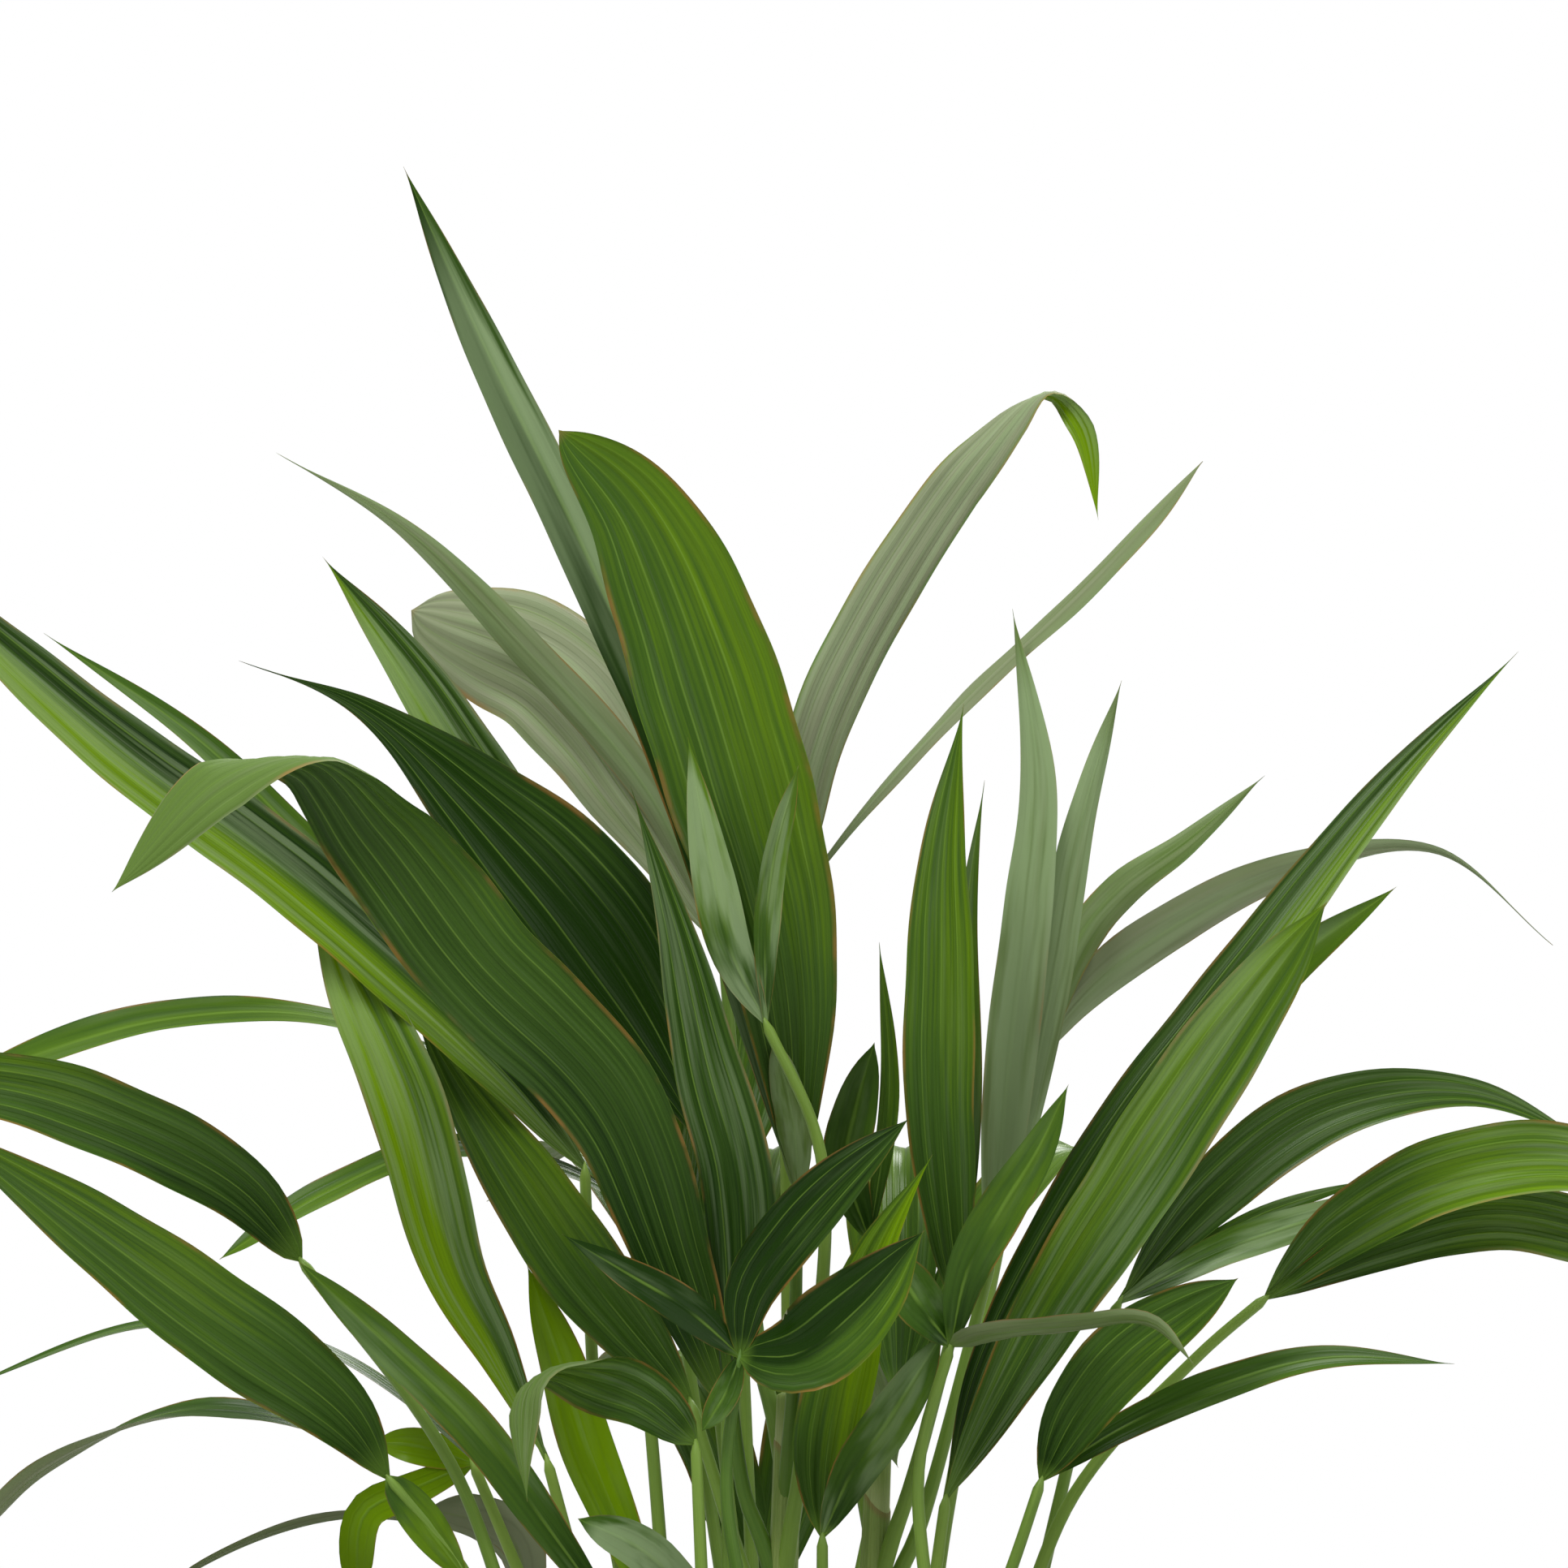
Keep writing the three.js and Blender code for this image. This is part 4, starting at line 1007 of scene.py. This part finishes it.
def compost_material():
    """Dark crumbly compost with paler fibres"""
    s = Shader("compost_crumbs", {"Specular IOR Level": 0.25})
    place = s.place()
    lump = s.noise(place, 160.0, 5.0, 0.7)
    patch = s.noise(place, 50.0, 3.0)
    colour = s.mix(patch.ramp(0.3, 0.7), COMPOST_BLACK, COMPOST_BROWN)
    colour = s.mix(lump.ramp(0.6, 0.75) * 0.6, colour, COMPOST_FIBRE)
    return s.drive(Base_Color=colour, Roughness=0.85 + lump * 0.12, Normal=s.bump(lump, 0.8, 0.0015))


def floor_material():
    s = Shader("pale_floor", {"Roughness": 0.9})
    tint = s.noise(s.place(), 0.6, 1.0)
    return s.drive(Base_Color=s.mix(tint, FLOOR_GREY, FLOOR_WHITE))


def screen_material():
    """A white lit screen far behind the plant"""
    s = Shader("white_screen", {"Base Color": (0, 0, 0, 1), "Roughness": 1.0, "Specular IOR Level": 0.0,
                                "Emission Color": (1, 1, 1, 1), "Emission Strength": 1.0})
    return s.material


class PALM_OT_pot(bpy.types.Operator):
    """Turn the plain clay pot"""

    bl_idname = "palm.pot"
    bl_label = "Pot"

    def execute(self, context):
        weave = Weave()

        def shift(point, radius, height):
            if height <= 3:
                return point
            wobble = noise.noise(Vector((point[0] * 0.03, point[1] * 0.03, height * 0.05))) * POT_WOBBLE
            return point * np.array([1 + wobble / radius, 1 + wobble / radius, 1])

        add_lathe(weave, pot_profile(), context.scene.palm.pot_facets, shift)
        weave.piece("clay_pot", [clay_material()], ["pot"])
        return {"FINISHED"}


class PALM_OT_compost(bpy.types.Operator):
    """Fill the pot with lumpy compost and loose crumbs"""

    bl_idname = "palm.compost"
    bl_label = "Compost"

    def execute(self, context):
        settings = context.scene.palm
        relief = settings.compost_relief / MM
        weave = Weave()

        def lift(x, y):
            coarse = noise.noise(Vector((x * 0.09, y * 0.09, 3.1)))
            fine = noise.noise(Vector((x * 0.3, y * 0.3, 7.7)))
            return relief * ((coarse + 0.6 * fine) * 0.8 + 0.35)

        def shift(point, radius, height):
            if height < COMPOST_TOP - 2:
                return point
            return point + np.array([0, 0, lift(point[0], point[1])])

        add_lathe(weave, compost_profile(), COMPOST_FACETS, shift)
        draw = Draw(SEED + 7)
        widest = POT_NECK_RADIUS - POT_WALL - 4
        for _ in range(settings.crumbs):
            away = widest * math.sqrt(draw(0, 1))
            turn = draw(0, TURN)
            size = draw(0.5, 1.0) ** 2 * CRUMB_RADIUS
            x, y = away * math.cos(turn), away * math.sin(turn)
            spot = Matrix.Translation(Vector((x, y, COMPOST_TOP + lift(x, y) + size * 0.1)) * MM)
            lean = Matrix.Rotation(draw(0, 3), 4, "X") @ Matrix.Rotation(draw(0, 3), 4, "Z")
            shape = Matrix.Diagonal((draw(0.7, 1.5), draw(0.5, 0.9), draw(0.4, 0.7), 1))
            matrix = spot @ lean @ shape
            bmesh.ops.create_icosphere(weave.mesh, subdivisions=2, radius=size * MM, matrix=matrix)
        weave.piece("compost_top", [compost_material()], ["compost"])
        return {"FINISHED"}


class PALM_OT_shoots(bpy.types.Operator):
    """Raise the shoots with their ribbed sheaths"""

    bl_idname = "palm.shoots"
    bl_label = "Shoots"

    def execute(self, context):
        material = sheath_material()
        for name in SHOOTS:
            weave = Weave()
            add_shoot(weave, name)
            weave.piece(f"sheath_{name}", [material], [f"shoot_{name}"])
        return {"FINISHED"}


class PALM_OT_fronds(bpy.types.Operator):
    """Grow every frond: its stalk and its pleated blades"""

    bl_idname = "palm.fronds"
    bl_label = "Fronds"

    def execute(self, context):
        settings = context.scene.palm
        materials = [leaf_material(), stalk_material()]
        draw = Draw(SEED + 3)
        for plan in all_fronds():
            name, blades = plan["name"], plan["blades"]
            weave = Weave()
            line = stalk_line(plan)
            tones_and_shade = TONES_AND_SHADE.get(name) or [(draw(0, 0.5), draw(0.1, 0.6)) for _ in blades]
            blooms = PAINTED_SHEENS.get(name) or [draw(0, 0.3) for _ in blades]
            add_stalk(weave, line, settings, tones_and_shade[0][0])
            foot = line.at(1 - STALK_OVERLAP / line.length)
            for spec, pair, bloom in zip(blades, tones_and_shade, blooms):
                add_blade(weave, foot, spec, pair, bloom, settings, draw)
            weave.piece(f"leaf_{name}", materials, [f"frond_{name}"])
        return {"FINISHED"}


def placed(name, data, place=(0, 0, 0), turn=(0, 0, 0)):
    """A new object of the stage"""
    obj = bpy.data.objects.new(name, data)
    obj.location = place
    obj.rotation_euler = turn
    bpy.context.scene.collection.objects.link(obj)
    return obj


def flat(name, half_width, material):
    """The mesh of a flat square"""
    bm = bmesh.new()
    bmesh.ops.create_grid(bm, x_segments=1, y_segments=1, size=half_width)
    data = bpy.data.meshes.new(name)
    bm.to_mesh(data)
    bm.free()
    data.materials.append(material)
    return data


class PALM_OT_stage(bpy.types.Operator):
    """Set the pale floor, the soft studio lights and the photo's camera"""

    bl_idname = "palm.stage"
    bl_label = "Stage"

    def execute(self, context):
        scene = context.scene
        upright = (math.radians(90), 0.0, 0.0)
        floor = placed("floor", flat("floor", 3.0, floor_material()))
        screen = placed("screen", flat("screen", 2.5, screen_material()), SCREEN_PLACE, upright)
        world = bpy.data.worlds.new("studio")
        world.use_nodes = True
        backdrop = next(node for node in world.node_tree.nodes if node.type == "BACKGROUND")
        backdrop.inputs["Color"].default_value = BACKDROP_TINT
        backdrop.inputs["Strength"].default_value = BACKDROP_STRENGTH
        scene.world = world
        scene.view_settings.view_transform = "Standard"
        for name, spot, size, power in LIGHTS:
            light = bpy.data.lights.new(name, "AREA")
            light.energy = power
            light.size = size
            aim = (Vector(LIGHT_AIM) - Vector(spot)).to_track_quat("-Z", "Y").to_euler()
            placed(name, light, spot, aim)
        camera = bpy.data.cameras.new("photo_camera")
        camera.sensor_width = 36.0
        camera.lens = CAMERA_LENS
        camera.clip_end = CAMERA_REACH
        scene.camera = placed("photo_camera", camera, CAMERA_PLACE, upright)
        return {"FINISHED"}


class VIEW3D_PT_palm(bpy.types.Panel):
    """Sidebar panel with the palm's settings and steps"""

    bl_label = "Palm"
    bl_idname = "VIEW3D_PT_palm"
    bl_space_type = "VIEW_3D"
    bl_region_type = "UI"
    bl_category = "Palm"

    def draw(self, context):
        for key in PalmSettings.__annotations__:
            self.layout.prop(context.scene.palm, key)
        for operator in OPERATORS:
            self.layout.operator(operator.bl_idname)


OPERATORS = (PALM_OT_pot, PALM_OT_compost, PALM_OT_shoots, PALM_OT_fronds, PALM_OT_stage)
CLASSES = (PalmSettings, *OPERATORS, VIEW3D_PT_palm)


def register():
    for cls in CLASSES:
        bpy.utils.register_class(cls)
    bpy.types.Scene.palm = bpy.props.PointerProperty(type=PalmSettings)


def unregister():
    del bpy.types.Scene.palm
    for cls in reversed(CLASSES):
        bpy.utils.unregister_class(cls)


def main():
    register()
    bpy.ops.palm.pot()
    bpy.ops.palm.compost()
    bpy.ops.palm.shoots()
    bpy.ops.palm.fronds()
    bpy.ops.palm.stage()


if __name__ == "__main__":
    main()
